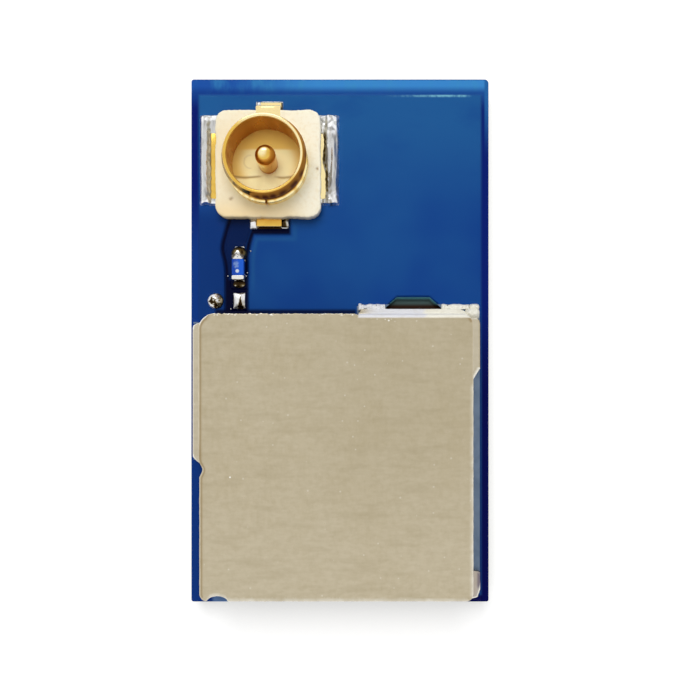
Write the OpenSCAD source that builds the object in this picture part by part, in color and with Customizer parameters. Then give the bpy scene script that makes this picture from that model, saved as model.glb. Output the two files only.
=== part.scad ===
// Short-range radio module: a circuit board with a coaxial aerial socket and a shield can.
// Millimetres. X runs east, Y runs north, Z runs up from the underside of the board.
// The origin is at the middle of the board's underside.

/* [Board] */
// Thickness of the circuit board, over its copper
board_t = 0.8; // [0.6:0.05:1.6]
// Radius of the board's corners
board_corner_r = 0.1; // [0.02:0.01:0.15]
// Thickness of the copper, which shows as a step under the coating
copper_t = 0.03; // [0.02:0.005:0.06]
// Bare strip along the east, west and south edges
pour_side = 0.19; // [0.1:0.01:0.3]
// Bare strip along the north edge
pour_north = 0.4; // [0.2:0.01:0.45]
// Thickness of the solder film under a part
solder_t = 0.03; // [0.01:0.005:0.05]

/* [Shield can] */
// Width of the can over its walls
can_w = 6.48; // [6:0.02:8]
// Length of the can over its walls
can_l = 6.8; // [6.4:0.05:9]
// Height of the can above the board
can_h = 1.2; // [1:0.05:2]
// Thickness of the can's sheet
can_sheet = 0.12; // [0.08:0.01:0.14]
// Outer radius of the can's folds
can_bend_r = 0.14; // [0.12:0.01:0.2]
// Chamfer at the can's corners
can_corner = 0.17; // [0.12:0.01:0.3]
// Board left free west of the can
can_west = 0.38; // [0.36:0.01:1]
// Board left free east of the can
can_east = 0.54; // [0.4:0.01:1]
// Board left free south of the can
can_south = 0.35; // [0.2:0.01:1]
// Width of the footed part of the north side
north_wall_w = 2.74; // [2.4:0.02:3.4]
// Width of the gate in the north wall that lets the radio line through
line_gate_w = 1; // [0.9:0.02:1.2]
// Height of that gate
line_gate_h = 0.5; // [0.4:0.02:0.8]
// Reach of the north foot in front of its wall
north_foot_reach = 0.15; // [0.1:0.01:0.3]
// Width of the solder in front of the north foot
north_solder_w = 0.1; // [0.05:0.01:0.2]
// Reach of the west foot beside its wall
west_foot_reach = 0.32; // [0.1:0.01:0.35]
// Length of the west foot
west_foot_l = 3.42; // [2:0.02:4]
// Set-back of the west foot from the can's north edge
west_foot_back = 0.19; // [0.15:0.01:0.4]
// Reach of the east feet beside their wall
east_foot_reach = 0.3; // [0.1:0.01:0.38]
// Length of the east foot
east_foot_l = 1.5; // [0.8:0.02:3]
// Length of the south-east corner foot
corner_foot_l = 0.72; // [0.5:0.02:1.2]
// Overhang of the corner foot past the south wall
corner_foot_over = 0.26; // [0.1:0.01:0.3]
// Radius of the bend reliefs beside the feet
relief_r = 0.165; // [0.15:0.005:0.2]
// Radius of the relief in the south wall
south_relief_r = 0.2; // [0.1:0.01:0.22]
// Middle of the south relief, from the west wall
south_relief_x = 0.41; // [0.4:0.01:1]
// Width of the open seam at the north-east corner
seam_w = 0.04; // [0.02:0.005:0.06]
// Turn of that seam from north to west, in degrees
seam_turn = 35; // [25:1:50]
// Width of the ground land inside the can's walls
can_land_in = 0.15; // [0.1:0.01:0.2]
// Ground land that shows east of the can
can_land_east = 0.31; // [0.3:0.01:0.36]

/* [Locating slot] */
// Width of the slot at the can's foot
slot_w = 1.42; // [0.8:0.02:1.8]
// Width of the slot at its north end
slot_tip_w = 0.7; // [0.4:0.02:0.76]
// Length of the slot north of the foot
slot_l = 0.3; // [0.15:0.01:0.5]
// Length of the slot under the foot
slot_under = 0.2; // [0.1:0.01:0.25]
// Depth of the slot in the board
slot_depth = 0.4; // [0.1:0.05:0.5]
// Middle of the slot, from the can's east wall
slot_x = 1.34; // [1.2:0.01:1.6]

/* [Coaxial socket] */
// Width of the housing
coax_w = 2.6; // [2.5:0.02:3]
// Depth of the housing
coax_d = 2.65; // [2.6:0.02:3]
// Height of the housing
coax_h = 0.4; // [0.36:0.01:0.55]
// Radius of the housing's corners
coax_corner_r = 0.3; // [0.1:0.01:0.35]
// Height of the floor inside the barrel
coax_floor = 0.3; // [0.26:0.01:0.34]
// Drop of the floor's south part
floor_step = 0.04; // [0.02:0.005:0.06]
// Distance of that drop south of the pin's axis
floor_step_south = 0.24; // [0.15:0.01:0.25]
// Board left free west of the housing
coax_west = 0.65; // [0.6:0.01:1]
// Board left free north of the housing
coax_north = 0.865; // [0.8:0.005:1.2]
// Outer diameter of the barrel
barrel_d = 2; // [1.9:0.01:2.1]
// Bore of the barrel
barrel_bore = 1.76; // [1.7:0.01:1.78]
// Height of the barrel above the board
barrel_h = 1.25; // [1.2:0.01:1.5]
// Diameter of the barrel's splayed foot inside the housing
barrel_foot_d = 2.1; // [2.06:0.01:2.3]
// Diameter at the bottom of the snap groove
groove_d = 1.87; // [1.84:0.01:1.89]
// Height of the ring below the groove
base_ring_h = 0.22; // [0.15:0.01:0.25]
// Height of the bead above the groove
bead_h = 0.3; // [0.24:0.01:0.34]
// Width of the slit in the ring's south side
slit_w = 0.04; // [0.02:0.005:0.08]
// Diameter of the centre pin
pin_d = 0.5; // [0.46:0.01:0.52]
// Height of the centre pin above the board
pin_h = 1.12; // [1.05:0.01:1.2]
// Diameter of the pin's tapered foot at the floor
collar_d = 0.58; // [0.54:0.01:0.64]
// Height of the taper above the floor
collar_h = 0.12; // [0.06:0.01:0.2]
// Thickness of the legs, strap and tail
contact_t = 0.1; // [0.06:0.01:0.12]
// Width of each side leg
leg_w = 1.66; // [1.2:0.02:1.8]
// Reach of each side leg beside the housing
leg_reach = 0.15; // [0.1:0.01:0.25]
// Width of the signal tail
tail_w = 0.61; // [0.4:0.01:0.7]
// Reach of the signal tail south of the housing
tail_reach = 0.17; // [0.1:0.01:0.25]
// Room for the tail under the barrel, on each side and above
tail_clear = 0.1; // [0.06:0.01:0.14]
// Width of the north strap and its tab
tab_w = 0.6; // [0.4:0.01:0.7]
// Reach of the north tab from the housing
tab_reach = 0.26; // [0.16:0.01:0.3]
// Length of each ground land
ground_land_l = 2.24; // [2:0.02:2.4]
// Reach of each ground land beside the housing
ground_land_reach = 0.435; // [0.3:0.005:0.5]
// Shift of the ground lands to the north
ground_land_shift = 0.16; // [0:0.01:0.2]
// Width of a ground land under the housing
ground_land_under = 0.3; // [0.2:0.01:0.35]
// Height of the solder at the legs
ground_solder_h = 0.2; // [0.14:0.01:0.3]
// Width of the signal land
signal_land_w = 0.96; // [0.8:0.02:1.2]
// Reach of the signal land south of the housing
signal_land_reach = 0.215; // [0.2:0.005:0.3]
// Height of the solder at the tail and the tab
tail_solder_h = 0.12; // [0.08:0.01:0.2]

/* [Radio line] */
// Board between the can and the socket's housing
rf_run = 2.335; // [2.2:0.005:3]
// Set-off of the line to the west of the socket's axis
rf_jog = 0.75; // [0.7:0.01:0.8]
// Width of the bare gaps beside the line
rf_gap = 0.13; // [0.08:0.01:0.16]
// Half width of the line
rf_half = 0.19; // [0.15:0.01:0.22]
// Half width of the line where it swells at the upper pad
rf_swell = 0.3; // [0.24:0.01:0.36]
// Middle of the matching chip, north of the can
chip_up = 1.16; // [1.1:0.01:1.2]
// Radius of the upper pad's solder
upper_dome_r = 0.2; // [0.16:0.01:0.22]
// Height of the upper pad's solder
upper_dome_h = 0.16; // [0.1:0.01:0.2]
// Radius of the lower pad's solder
lower_dome_r = 0.15; // [0.12:0.01:0.16]
// Height of the lower pad's solder
lower_dome_h = 0.1; // [0.06:0.01:0.14]
// Width of the spare pad
spare_w = 0.29; // [0.24:0.01:0.32]
// Length of the spare pad
spare_l = 0.4; // [0.3:0.01:0.42]
// Middle of the spare pad, north of the can
spare_up = 0.33; // [0.3:0.01:0.36]
// Height of the spare pad's solder
spare_h = 0.1; // [0.05:0.01:0.14]
// Radius of the test point's solder
test_r = 0.2; // [0.12:0.01:0.22]
// Height of the test point's solder
test_h = 0.16; // [0.08:0.01:0.19]
// Set-off of the test point to the west of the line
test_west = 0.59; // [0.56:0.01:0.62]

/* [Parts] */
// Length of a small chip part
small_l = 0.6; // [0.5:0.02:0.7]
// Width of a small chip part
small_w = 0.3; // [0.25:0.01:0.35]
// Height of a small chip part
small_h = 0.3; // [0.2:0.01:0.35]
// Length of a small chip part's end caps
small_cap = 0.14; // [0.1:0.01:0.18]
// Length of an inductor
coil_l = 1; // [0.8:0.02:1.2]
// Width of an inductor
coil_w = 0.5; // [0.4:0.02:0.6]
// Height of an inductor
coil_h = 0.5; // [0.3:0.02:0.7]
// Length of an inductor's end caps
coil_cap = 0.22; // [0.15:0.01:0.3]
// Free board between parts, and between parts and walls
part_clear = 0.3; // [0.2:0.01:0.32]
// Side of the radio chip
radio_w = 3.4; // [3:0.05:3.6]
// Height of the radio chip
radio_h = 0.75; // [0.5:0.05:0.9]
// Pitch of the radio chip's leads
lead_pitch = 0.4; // [0.35:0.01:0.6]
// Width of a lead
lead_w = 0.2; // [0.12:0.01:0.24]
// Length of a lead
lead_l = 0.4; // [0.3:0.01:0.45]
// Thickness of the radio chip's lead frame
lead_t = 0.2; // [0.1:0.01:0.25]
// Side of the radio chip's heat pad
heat_pad_w = 2; // [1.4:0.05:2.2]
// Width of the main crystal
main_w = 1.6; // [1.2:0.05:1.8]
// Length of the main crystal
main_l = 2; // [1.6:0.05:2.2]
// Width of the clock crystal
clock_w = 1; // [0.9:0.05:1.2]
// Length of the clock crystal
clock_l = 1.6; // [1.4:0.05:1.8]
// Height of a crystal over its lid
crystal_h = 0.45; // [0.3:0.01:0.6]
// Thickness of a crystal's lid
crystal_lid_t = 0.08; // [0.05:0.01:0.12]
// Border of a crystal's base around its lid
crystal_rim = 0.1; // [0.05:0.01:0.15]
// Thickness of a crystal's terminals
terminal_t = 0.04; // [0.02:0.01:0.08]
// Border of a crystal's base around its terminals
terminal_rim = 0.08; // [0.04:0.01:0.12]

/* [Bottom lands] */
// Pitch of the lands on the underside
land_pitch = 0.8; // [0.7:0.05:1.2]
// Width of an edge land
land_w = 0.7; // [0.5:0.02:0.9]
// Length of an edge land
land_l = 0.45; // [0.3:0.01:0.6]
// Set-back of the edge lands from the board's edge
land_back = 0.25; // [0.1:0.01:0.4]
// Side of a middle ground land
middle_land_w = 0.9; // [0.6:0.05:1]
// Pitch of the middle ground lands
middle_pitch = 1.5; // [1.2:0.05:1.6]

/* [Hidden] */
$fn = 48;
cut = 0.05;

board_w = can_west + can_w + can_east;
board_l = can_south + can_l + rf_run + coax_d + coax_north;
bx = board_w / 2;
by = board_l / 2;
slab_top = board_t - copper_t;

can_x0 = can_west - bx;
can_x1 = can_x0 + can_w;
can_y0 = can_south - by;
can_y1 = can_y0 + can_l;
fold_x = can_x1 - north_wall_w;
inner_corner = max(0.02, can_corner - can_sheet * (2 - sqrt(2)));
in_x0 = can_x0 + can_sheet;
in_x1 = can_x1 - can_sheet;
in_y0 = can_y0 + can_sheet;
in_y1 = can_y1 - can_sheet;
west_foot_y1 = can_y1 - west_foot_back;
west_foot_y0 = west_foot_y1 - west_foot_l;
east_foot_y0 = can_y1 - east_foot_l;
corner_foot_y0 = can_y0 - corner_foot_over;
corner_foot_y1 = corner_foot_y0 + corner_foot_l;
north_foot_y = can_y1 + north_foot_reach;

slot_mid = can_x1 - slot_x;
slot_y0 = north_foot_y - slot_under;
slot_y1 = north_foot_y + slot_l;

coax_x = coax_west + coax_w / 2 - bx;
coax_y = by - coax_north - coax_d / 2;
wall_x = coax_w / 2;
wall_y = coax_d / 2;
barrel_r = barrel_d / 2;
barrel_foot_r = barrel_foot_d / 2;
bore_r = barrel_bore / 2;
foot_bore_r = bore_r + barrel_foot_r - barrel_r;
barrel_mid_r = (bore_r + barrel_r) / 2;
lip_r = barrel_r - barrel_mid_r;
pin_r = pin_d / 2;
pin_foot_h = coax_floor + collar_h;
pin_foot_d = pin_d + (collar_d - pin_d) * pin_foot_h / collar_h;

rf_x = coax_x - rf_jog;
chip_y = can_y1 + chip_up;
upper_pad_y = chip_y + small_l / 2 + upper_dome_r / 2;
lower_pad_y = chip_y - small_l / 2 - lower_dome_r / 3;
spare_y = can_y1 + spare_up;
rf_end_y = lower_pad_y + lower_dome_r / 2;
signal_edge_y = coax_y - wall_y - signal_land_reach;

// Points on a solder ramp, as shares of its reach and its height
ramp_knee = [0.72, 0.62];
ramp_shoulder = [0.45, 0.95];

part_z = board_t + solder_t;
radio_x = in_x0 + part_clear + radio_w / 2;
radio_y = in_y0 + part_clear + radio_w / 2;
main_x = in_x1 - part_clear - main_w / 2;
main_y = in_y1 - part_clear - main_l / 2;
clock_x = in_x1 - part_clear - clock_w / 2;
clock_y = main_y - main_l / 2 - part_clear - clock_l / 2;
coil_x = in_x1 - part_clear - coil_l / 2;
coil_y = clock_y - clock_l / 2 - part_clear - coil_w / 2;
coil_spots = [for (i = [0:1]) [coil_x, coil_y - i * (coil_w + part_clear)]];
small_row_y = radio_y + radio_w / 2 + part_clear + small_w / 2;
small_row_x = radio_x - radio_w / 2 + small_l / 2;
small_spots = [
    for (row = [0:1], column = [0:3])
        [small_row_x + column * (small_l + part_clear), small_row_y + row * (small_w + part_clear)]
];
line_part_y = in_y1 - part_clear - small_l / 2;
leads_per_side = floor((radio_w - 2 * lead_l - 2 * lead_w) / lead_pitch) + 1;
edge_lands = floor((board_l - 2 * land_back - land_l) / land_pitch) + 1;

// Outlines

// Rectangle with round corners, centred
module round_rect(w, l, r) {
    square([w - 2 * r, l], center = true);
    square([w, l - 2 * r], center = true);
    for (sx = [-1, 1], sy = [-1, 1])
        translate([sx * (w / 2 - r), sy * (l / 2 - r)])
            circle(r);
}

// Rectangle between two corners
module corners(x0, y0, x1, y1) {
    translate([x0, y0])
        square([x1 - x0, y1 - y0]);
}

// Rectangle with its two upper corners rounded, from the origin
module round_top(w, h, r) {
    square([w, h - r]);
    translate([r, 0])
        square([w - 2 * r, h]);
    for (x = [r, w - r])
        translate([x, h - r])
            circle(r);
}

// Solder cap on a round base, cut from a ball
module solder_cap(base_r, h) {
    ball_r = (base_r * base_r + h * h) / (2 * h);
    intersection() {
        translate([0, 0, h - ball_r])
            sphere(ball_r);
        cylinder(r = ball_r * 2, h = h * 2);
    }
}

// Plan of the locating slot, narrower towards its tip
module slot_outline() {
    polygon([
        [slot_mid - slot_w / 2, slot_y0],
        [slot_mid + slot_w / 2, slot_y0],
        [slot_mid + slot_w / 2, north_foot_y],
        [slot_mid + slot_tip_w / 2, slot_y1],
        [slot_mid - slot_tip_w / 2, slot_y1],
        [slot_mid - slot_w / 2, north_foot_y]
    ]);
}

// The radio line from the matching chip to the signal land, widened by grow on both sides
module line_outline(grow) {
    land_x0 = coax_x - signal_land_w / 2;
    start_y = coax_y - wall_y + contact_t;
    polygon([
        [rf_x - rf_half - grow, rf_end_y],
        [rf_x - rf_half - grow, chip_y],
        [rf_x - rf_swell - grow, upper_pad_y],
        [rf_x - rf_swell - grow, upper_pad_y + upper_dome_r],
        [rf_x - rf_half / 2 - grow, start_y],
        [land_x0 + rf_half, start_y],
        [land_x0 + rf_half, signal_edge_y - grow],
        [land_x0, signal_edge_y - grow],
        [rf_x + rf_half + grow, upper_pad_y],
        [rf_x + rf_half + grow, rf_end_y]
    ]);
}

// Area round the line, the signal land and the lower pads that has no copper pour
module line_clearance() {
    land_half = signal_land_w / 2 + rf_gap;
    line_outline(rf_gap);
    corners(coax_x - land_half, signal_edge_y - rf_gap, coax_x + land_half, coax_y - wall_y + contact_t);
    corners(rf_x - rf_half - rf_gap, can_y1 - can_sheet, rf_x + rf_half + rf_gap, rf_end_y + rf_gap);
}

// Lands of the socket, the matching chip, the spare pad and the test point
module top_land_outline() {
    for (side = [-1, 1])
        translate([coax_x + side * (wall_x + (ground_land_reach - ground_land_under) / 2),
                   coax_y + ground_land_shift])
            square([ground_land_reach + ground_land_under, ground_land_l], center = true);
    corners(coax_x - signal_land_w / 2, signal_edge_y,
            coax_x + signal_land_w / 2, coax_y - wall_y + contact_t);
    corners(coax_x - tab_w / 2 - contact_t, coax_y + wall_y - contact_t,
            coax_x + tab_w / 2 + contact_t, coax_y + wall_y + tab_reach + solder_t);
    corners(rf_x - small_w / 2, chip_y + small_l / 2 - small_cap, rf_x + small_w / 2, upper_pad_y);
    translate([rf_x, upper_pad_y])
        circle(upper_dome_r);
    corners(rf_x - small_w / 2, lower_pad_y - lower_dome_r,
            rf_x + small_w / 2, chip_y - small_l / 2 + small_cap);
    translate([rf_x, spare_y])
        square([spare_w, spare_l], center = true);
    translate([rf_x - test_west, can_y1 + spare_up])
        circle(test_r);
}

// Ground land under the can's walls and feet
module can_land_outline() {
    difference() {
        union() {
            corners(can_x0 - west_foot_reach, west_foot_y0, in_x0 + can_land_in, west_foot_y1);
            corners(can_x0, can_y0, in_x0 + can_land_in, west_foot_y1);
            corners(can_x0, can_y0, can_x1 + can_land_east, in_y0 + can_land_in);
            corners(in_x1 - can_land_in, corner_foot_y0,
                    can_x1 + can_land_east, north_foot_y + north_solder_w);
            corners(fold_x, in_y1 - can_land_in,
                    can_x1 + can_land_east, north_foot_y + north_solder_w);
            corners(rf_x + line_gate_w / 2, in_y1 - can_land_in, fold_x, can_y1);
        }
        slot_outline();
    }
}

// Two pads of a chip part that lies along X, centred
module two_pads(l, w, pad_l) {
    for (side = [-1, 1])
        translate([side * (l - pad_l) / 2, 0])
            square([pad_l, w], center = true);
}

// Four pads of a crystal, centred
module four_pads(w, l) {
    pad_w = w / 2 - 2 * terminal_rim;
    pad_l = l / 2 - 3 * terminal_rim;
    for (sx = [-1, 1], sy = [-1, 1])
        translate([sx * (w / 2 - terminal_rim - pad_w / 2), sy * (l / 2 - terminal_rim - pad_l / 2)])
            square([pad_w, pad_l], center = true);
}

// Leads and heat pad of the radio chip, centred
module lead_outline() {
    square([heat_pad_w, heat_pad_w], center = true);
    for (turn = [0:3])
        rotate(90 * turn)
            for (i = [0:leads_per_side - 1])
                translate([(i - (leads_per_side - 1) / 2) * lead_pitch, radio_w / 2 - lead_l / 2])
                    square([lead_w, lead_l], center = true);
}

// Everything that is soldered down inside the can
module inner_pad_outline() {
    translate([radio_x, radio_y])
        lead_outline();
    translate([main_x, main_y])
        four_pads(main_w, main_l);
    translate([clock_x, clock_y])
        four_pads(clock_w, clock_l);
    for (spot = coil_spots)
        translate(spot)
            two_pads(coil_l, coil_w, coil_cap);
    for (spot = small_spots)
        translate(spot)
            two_pads(small_l, small_w, small_cap);
    translate([rf_x, line_part_y])
        rotate(90)
            two_pads(small_l, small_w, small_cap);
}

// Lands on the underside: a row along each long edge and a ground field in the middle
module bottom_land_outline() {
    for (side = [-1, 1], i = [0:edge_lands - 1])
        translate([side * (bx - land_back - land_w / 2), (i - (edge_lands - 1) / 2) * land_pitch])
            square([land_w, land_l], center = true);
    for (column = [-1, 1], row = [-2:2])
        translate([column * middle_pitch / 2, row * middle_pitch])
            square([middle_land_w, middle_land_w], center = true);
}

// Block with rolled top edges and chamfered corners, open downwards
module rolled_block(x0, y0, x1, y1, h, edge_r, corner) {
    w = x1 - x0;
    l = y1 - y0;
    translate([x0, y0, 0])
        intersection() {
            linear_extrude(h)
                polygon([
                    [corner, 0], [w, 0], [w, l], [corner, l], [0, l - corner], [0, corner]
                ]);
            translate([0, l, 0])
                rotate([90, 0, 0])
                    linear_extrude(l)
                        round_top(w, h, edge_r);
            rotate([90, 0, 90])
                linear_extrude(w)
                    round_top(l, h, edge_r);
        }
}

// Body of a chip part between its end caps, lying along X, centred on its underside
module chip_middle(l, w, h, cap_l) {
    translate([-(l / 2 - cap_l), -w / 2, 0])
        cube([l - 2 * cap_l, w, h]);
}

// End caps of a chip part
module chip_ends(l, w, h, cap_l) {
    linear_extrude(h)
        two_pads(l, w, cap_l);
}

// Base of a crystal, with pockets for its terminals
module crystal_base(w, l) {
    difference() {
        translate([-w / 2, -l / 2, 0])
            cube([w, l, crystal_h - crystal_lid_t]);
        translate([0, 0, -cut])
            linear_extrude(terminal_t + cut)
                four_pads(w, l);
    }
}

// Lid of a crystal
module crystal_lid(w, l) {
    translate([0, 0, crystal_h - crystal_lid_t])
        linear_extrude(crystal_lid_t)
            round_rect(w - 2 * crystal_rim, l - 2 * crystal_rim, crystal_rim);
}

// Solder that runs down from a leg to the edge of its land: it lies along Y and falls towards +X
module solder_ramp(reach, l, h) {
    translate([0, l / 2, 0])
        rotate([90, 0, 0])
            linear_extrude(l)
                polygon([
                    [0, 0], [reach, 0], [reach - solder_t / 2, solder_t],
                    [reach * ramp_knee[0], h * ramp_knee[1]],
                    [reach * ramp_shoulder[0], h * ramp_shoulder[1]], [0, h]
                ]);
}

// Board and lands

module board() {
    color("midnightblue") {
        difference() {
            linear_extrude(slab_top)
                round_rect(board_w, board_l, board_corner_r);
            translate([0, 0, -cut])
                linear_extrude(copper_t + cut)
                    bottom_land_outline();
            translate([0, 0, slab_top - slot_depth])
                linear_extrude(slot_depth + cut)
                    slot_outline();
        }
        translate([0, 0, slab_top])
            linear_extrude(copper_t)
                difference() {
                    corners(pour_side - bx, pour_side - by, bx - pour_side, by - pour_north);
                    line_clearance();
                    top_land_outline();
                    can_land_outline();
                    inner_pad_outline();
                    slot_outline();
                }
        translate([0, 0, slab_top])
            linear_extrude(copper_t)
                difference() {
                    line_outline(0);
                    top_land_outline();
                }
    }
}

module top_lands() {
    color("silver")
        translate([0, 0, slab_top])
            linear_extrude(copper_t) {
                top_land_outline();
                inner_pad_outline();
            }
}

module can_land() {
    color("lightslategray")
        translate([0, 0, slab_top])
            linear_extrude(copper_t)
                can_land_outline();
}

module bottom_lands() {
    color("gold")
        linear_extrude(copper_t)
            bottom_land_outline();
}

// Shield can

// Feet that lie on the board beside the walls
module can_feet() {
    linear_extrude(can_sheet) {
        polygon([
            [in_x0, west_foot_y0],
            [in_x0, west_foot_y1 + can_corner],
            [can_x0, west_foot_y1 + can_corner / 2],
            [can_x0 - west_foot_reach, west_foot_y1 - can_corner / 2],
            [can_x0 - west_foot_reach, west_foot_y0 + can_corner / 2],
            [can_x0, west_foot_y0]
        ]);
        corners(in_x1, east_foot_y0, can_x1 + east_foot_reach, can_y1);
        corners(fold_x, in_y1, can_x1 + east_foot_reach, north_foot_y);
        corners(in_x1, corner_foot_y0 + east_foot_reach, can_x1 + east_foot_reach, corner_foot_y1);
        intersection() {
            translate([can_x1, corner_foot_y0 + east_foot_reach])
                circle(east_foot_reach);
            corners(in_x1, corner_foot_y0, can_x1 + east_foot_reach, corner_foot_y1);
        }
    }
}

module shield_can() {
    color("tan")
        translate([0, 0, board_t])
            difference() {
                union() {
                    rolled_block(can_x0, can_y0, can_x1, can_y1, can_h, can_bend_r, can_corner);
                    translate([0, 0, can_h - can_sheet])
                        linear_extrude(can_sheet)
                            corners(can_x0 + can_corner, can_y1 - can_corner, fold_x, can_y1);
                    can_feet();
                }
                translate([0, 0, -cut])
                    rolled_block(in_x0, in_y0, in_x1, in_y1, can_h - can_sheet + cut,
                                 max(0.02, can_bend_r - can_sheet), inner_corner);
                translate([0, 0, -cut])
                    linear_extrude(line_gate_h + cut)
                        corners(rf_x - line_gate_w / 2, in_y1 - cut, rf_x + line_gate_w / 2, can_y1 + cut);
                for (spot = [[can_x0, west_foot_y0, relief_r], [can_x1, east_foot_y0, relief_r],
                             [can_x0 + south_relief_x, can_y0, south_relief_r]])
                    translate([spot[0], spot[1], -cut])
                        rotate(45)
                            cylinder(r = spot[2], h = can_h + 2 * cut);
                translate([can_x1, can_y1 - can_bend_r * 2, -cut])
                    rotate(seam_turn)
                        translate([-seam_w / 2, 0, 0])
                            cube([seam_w, can_bend_r * 2, can_h + 2 * cut]);
            }
}

module can_solder() {
    color("whitesmoke")
        translate([0, 0, board_t])
            difference() {
                translate([(fold_x + can_x1) / 2, north_foot_y, 0])
                    rotate(90)
                        solder_ramp(north_solder_w, north_wall_w, can_sheet);
                translate([0, 0, -cut])
                    linear_extrude(can_sheet + 2 * cut)
                        slot_outline();
            }
}

// Coaxial socket

// Half section of the barrel, radius along X
module barrel_section() {
    groove_z0 = coax_h + base_ring_h;
    groove_z1 = barrel_h - bead_h;
    polygon([
        [foot_bore_r, 0], [barrel_foot_r, 0], [barrel_r, coax_h], [barrel_r, groove_z0],
        [groove_d / 2, (groove_z0 + groove_z1) / 2],
        [barrel_r, groove_z1], [barrel_r, barrel_h - lip_r],
        [bore_r, barrel_h - lip_r], [bore_r, coax_floor]
    ]);
    translate([barrel_mid_r, barrel_h - lip_r])
        circle(lip_r);
}

// Half section of the space inside the barrel
module bore_section() {
    polygon([
        [0, -cut], [foot_bore_r, -cut], [foot_bore_r, 0], [bore_r, coax_floor],
        [bore_r, barrel_h + cut], [0, barrel_h + cut]
    ]);
}

// Barrel, side legs and north strap, one stamped piece
module barrel_form() {
    difference() {
        union() {
            rotate_extrude()
                barrel_section();
            for (side = [0, 180])
                rotate(side)
                    translate([bore_r, -leg_w / 2, 0])
                        cube([wall_x + leg_reach - bore_r, leg_w, contact_t]);
            translate([-tab_w / 2, bore_r, coax_h - contact_t])
                cube([tab_w, wall_y + contact_t - bore_r, contact_t]);
            translate([-tab_w / 2, wall_y, 0])
                cube([tab_w, contact_t, coax_h]);
            translate([-tab_w / 2, wall_y, 0])
                cube([tab_w, tab_reach, contact_t]);
        }
        rotate_extrude()
            bore_section();
        translate([-tail_w / 2 - tail_clear, -barrel_foot_r - cut, -cut])
            cube([tail_w + 2 * tail_clear, barrel_foot_r, contact_t + tail_clear + cut]);
        translate([-slit_w / 2, -barrel_r - cut, coax_h])
            cube([slit_w, barrel_r, base_ring_h]);
    }
}

// Centre pin with its tapered foot and its tail
module pin_form() {
    translate([0, 0, pin_foot_h])
        cylinder(r = pin_r, h = pin_h - pin_r - pin_foot_h);
    translate([0, 0, pin_h - pin_r])
        sphere(pin_r);
    cylinder(d1 = pin_foot_d, d2 = pin_d, h = pin_foot_h);
    translate([-tail_w / 2, -wall_y - tail_reach, 0])
        cube([tail_w, wall_y + tail_reach, contact_t]);
}

module coax_housing() {
    color("blanchedalmond")
        translate([coax_x, coax_y, board_t])
            difference() {
                linear_extrude(coax_h)
                    round_rect(coax_w, coax_d, coax_corner_r);
                translate([0, 0, coax_floor])
                    cylinder(r = barrel_mid_r, h = coax_h);
                translate([0, 0, coax_floor - floor_step])
                    intersection() {
                        cylinder(r = barrel_mid_r, h = coax_h);
                        translate([-barrel_r, -barrel_r - floor_step_south, 0])
                            cube([2 * barrel_r, barrel_r, coax_h]);
                    }
                barrel_form();
                pin_form();
            }
}

module coax_barrel() {
    color("goldenrod")
        translate([coax_x, coax_y, board_t])
            barrel_form();
}

module coax_pin() {
    color("gold")
        translate([coax_x, coax_y, board_t])
            pin_form();
}

module coax_ground_solder() {
    color("gainsboro")
        translate([coax_x, coax_y, board_t])
            for (side = [0, 1])
                mirror([side, 0, 0])
                    difference() {
                        translate([wall_x, ground_land_shift, 0])
                            solder_ramp(ground_land_reach, ground_land_l, ground_solder_h);
                        translate([wall_x - cut, -leg_w / 2, -cut])
                            cube([leg_reach + cut, leg_w, ground_solder_h + 2 * cut]);
                    }
}

module coax_signal_solder() {
    color("gainsboro")
        translate([coax_x, coax_y - wall_y, board_t])
            difference() {
                rotate(-90)
                    solder_ramp(signal_land_reach, signal_land_w, tail_solder_h);
                translate([-tail_w / 2, -tail_reach, -cut])
                    cube([tail_w, tail_reach + cut, tail_solder_h + 2 * cut]);
            }
}

module coax_tab_solder() {
    color("gainsboro")
        translate([coax_x, coax_y + wall_y, board_t])
            difference() {
                rotate(90)
                    solder_ramp(tab_reach + solder_t, tab_w + 2 * contact_t, tail_solder_h);
                translate([-tab_w / 2, -cut, -cut])
                    cube([tab_w, tab_reach + cut, tail_solder_h + 2 * cut]);
            }
}

// Radio line

module matching_chip_body() {
    color("royalblue")
        translate([rf_x, chip_y, part_z])
            rotate(90)
                chip_middle(small_l, small_w, small_h, small_cap);
}

module matching_chip_caps() {
    color("silver")
        translate([rf_x, chip_y, part_z])
            rotate(90)
                chip_ends(small_l, small_w, small_h, small_cap);
}

module matching_chip_solder() {
    color("gainsboro")
        translate([0, 0, board_t]) {
            difference() {
                union() {
                    translate([rf_x, upper_pad_y, 0])
                        solder_cap(upper_dome_r, upper_dome_h);
                    translate([rf_x, lower_pad_y, 0])
                        solder_cap(lower_dome_r, lower_dome_h);
                }
                translate([rf_x - small_l, chip_y - small_l / 2, -cut])
                    cube([2 * small_l, small_l, small_h + 2 * cut]);
            }
            linear_extrude(solder_t)
                translate([rf_x, chip_y])
                    rotate(90)
                        two_pads(small_l, small_w, small_cap);
        }
}

module spare_pad_solder() {
    color("gainsboro")
        translate([rf_x, spare_y, board_t])
            intersection() {
                solder_cap(sqrt(spare_w * spare_w + spare_l * spare_l) / 2 + solder_t, spare_h);
                translate([-spare_w / 2, -spare_l / 2, 0])
                    cube([spare_w, spare_l, spare_h * 2]);
            }
}

module test_point_solder() {
    color("gainsboro")
        translate([rf_x - test_west, spare_y, board_t])
            solder_cap(test_r, test_h);
}

// Parts inside the can

module radio_chip_body() {
    color("dimgray")
        translate([radio_x, radio_y, part_z])
            difference() {
                translate([-radio_w / 2, -radio_w / 2, 0])
                    cube([radio_w, radio_w, radio_h]);
                translate([0, 0, -cut])
                    linear_extrude(lead_t + cut)
                        lead_outline();
            }
}

module radio_chip_leads() {
    color("silver")
        translate([radio_x, radio_y, part_z])
            linear_extrude(lead_t)
                lead_outline();
}

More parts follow.
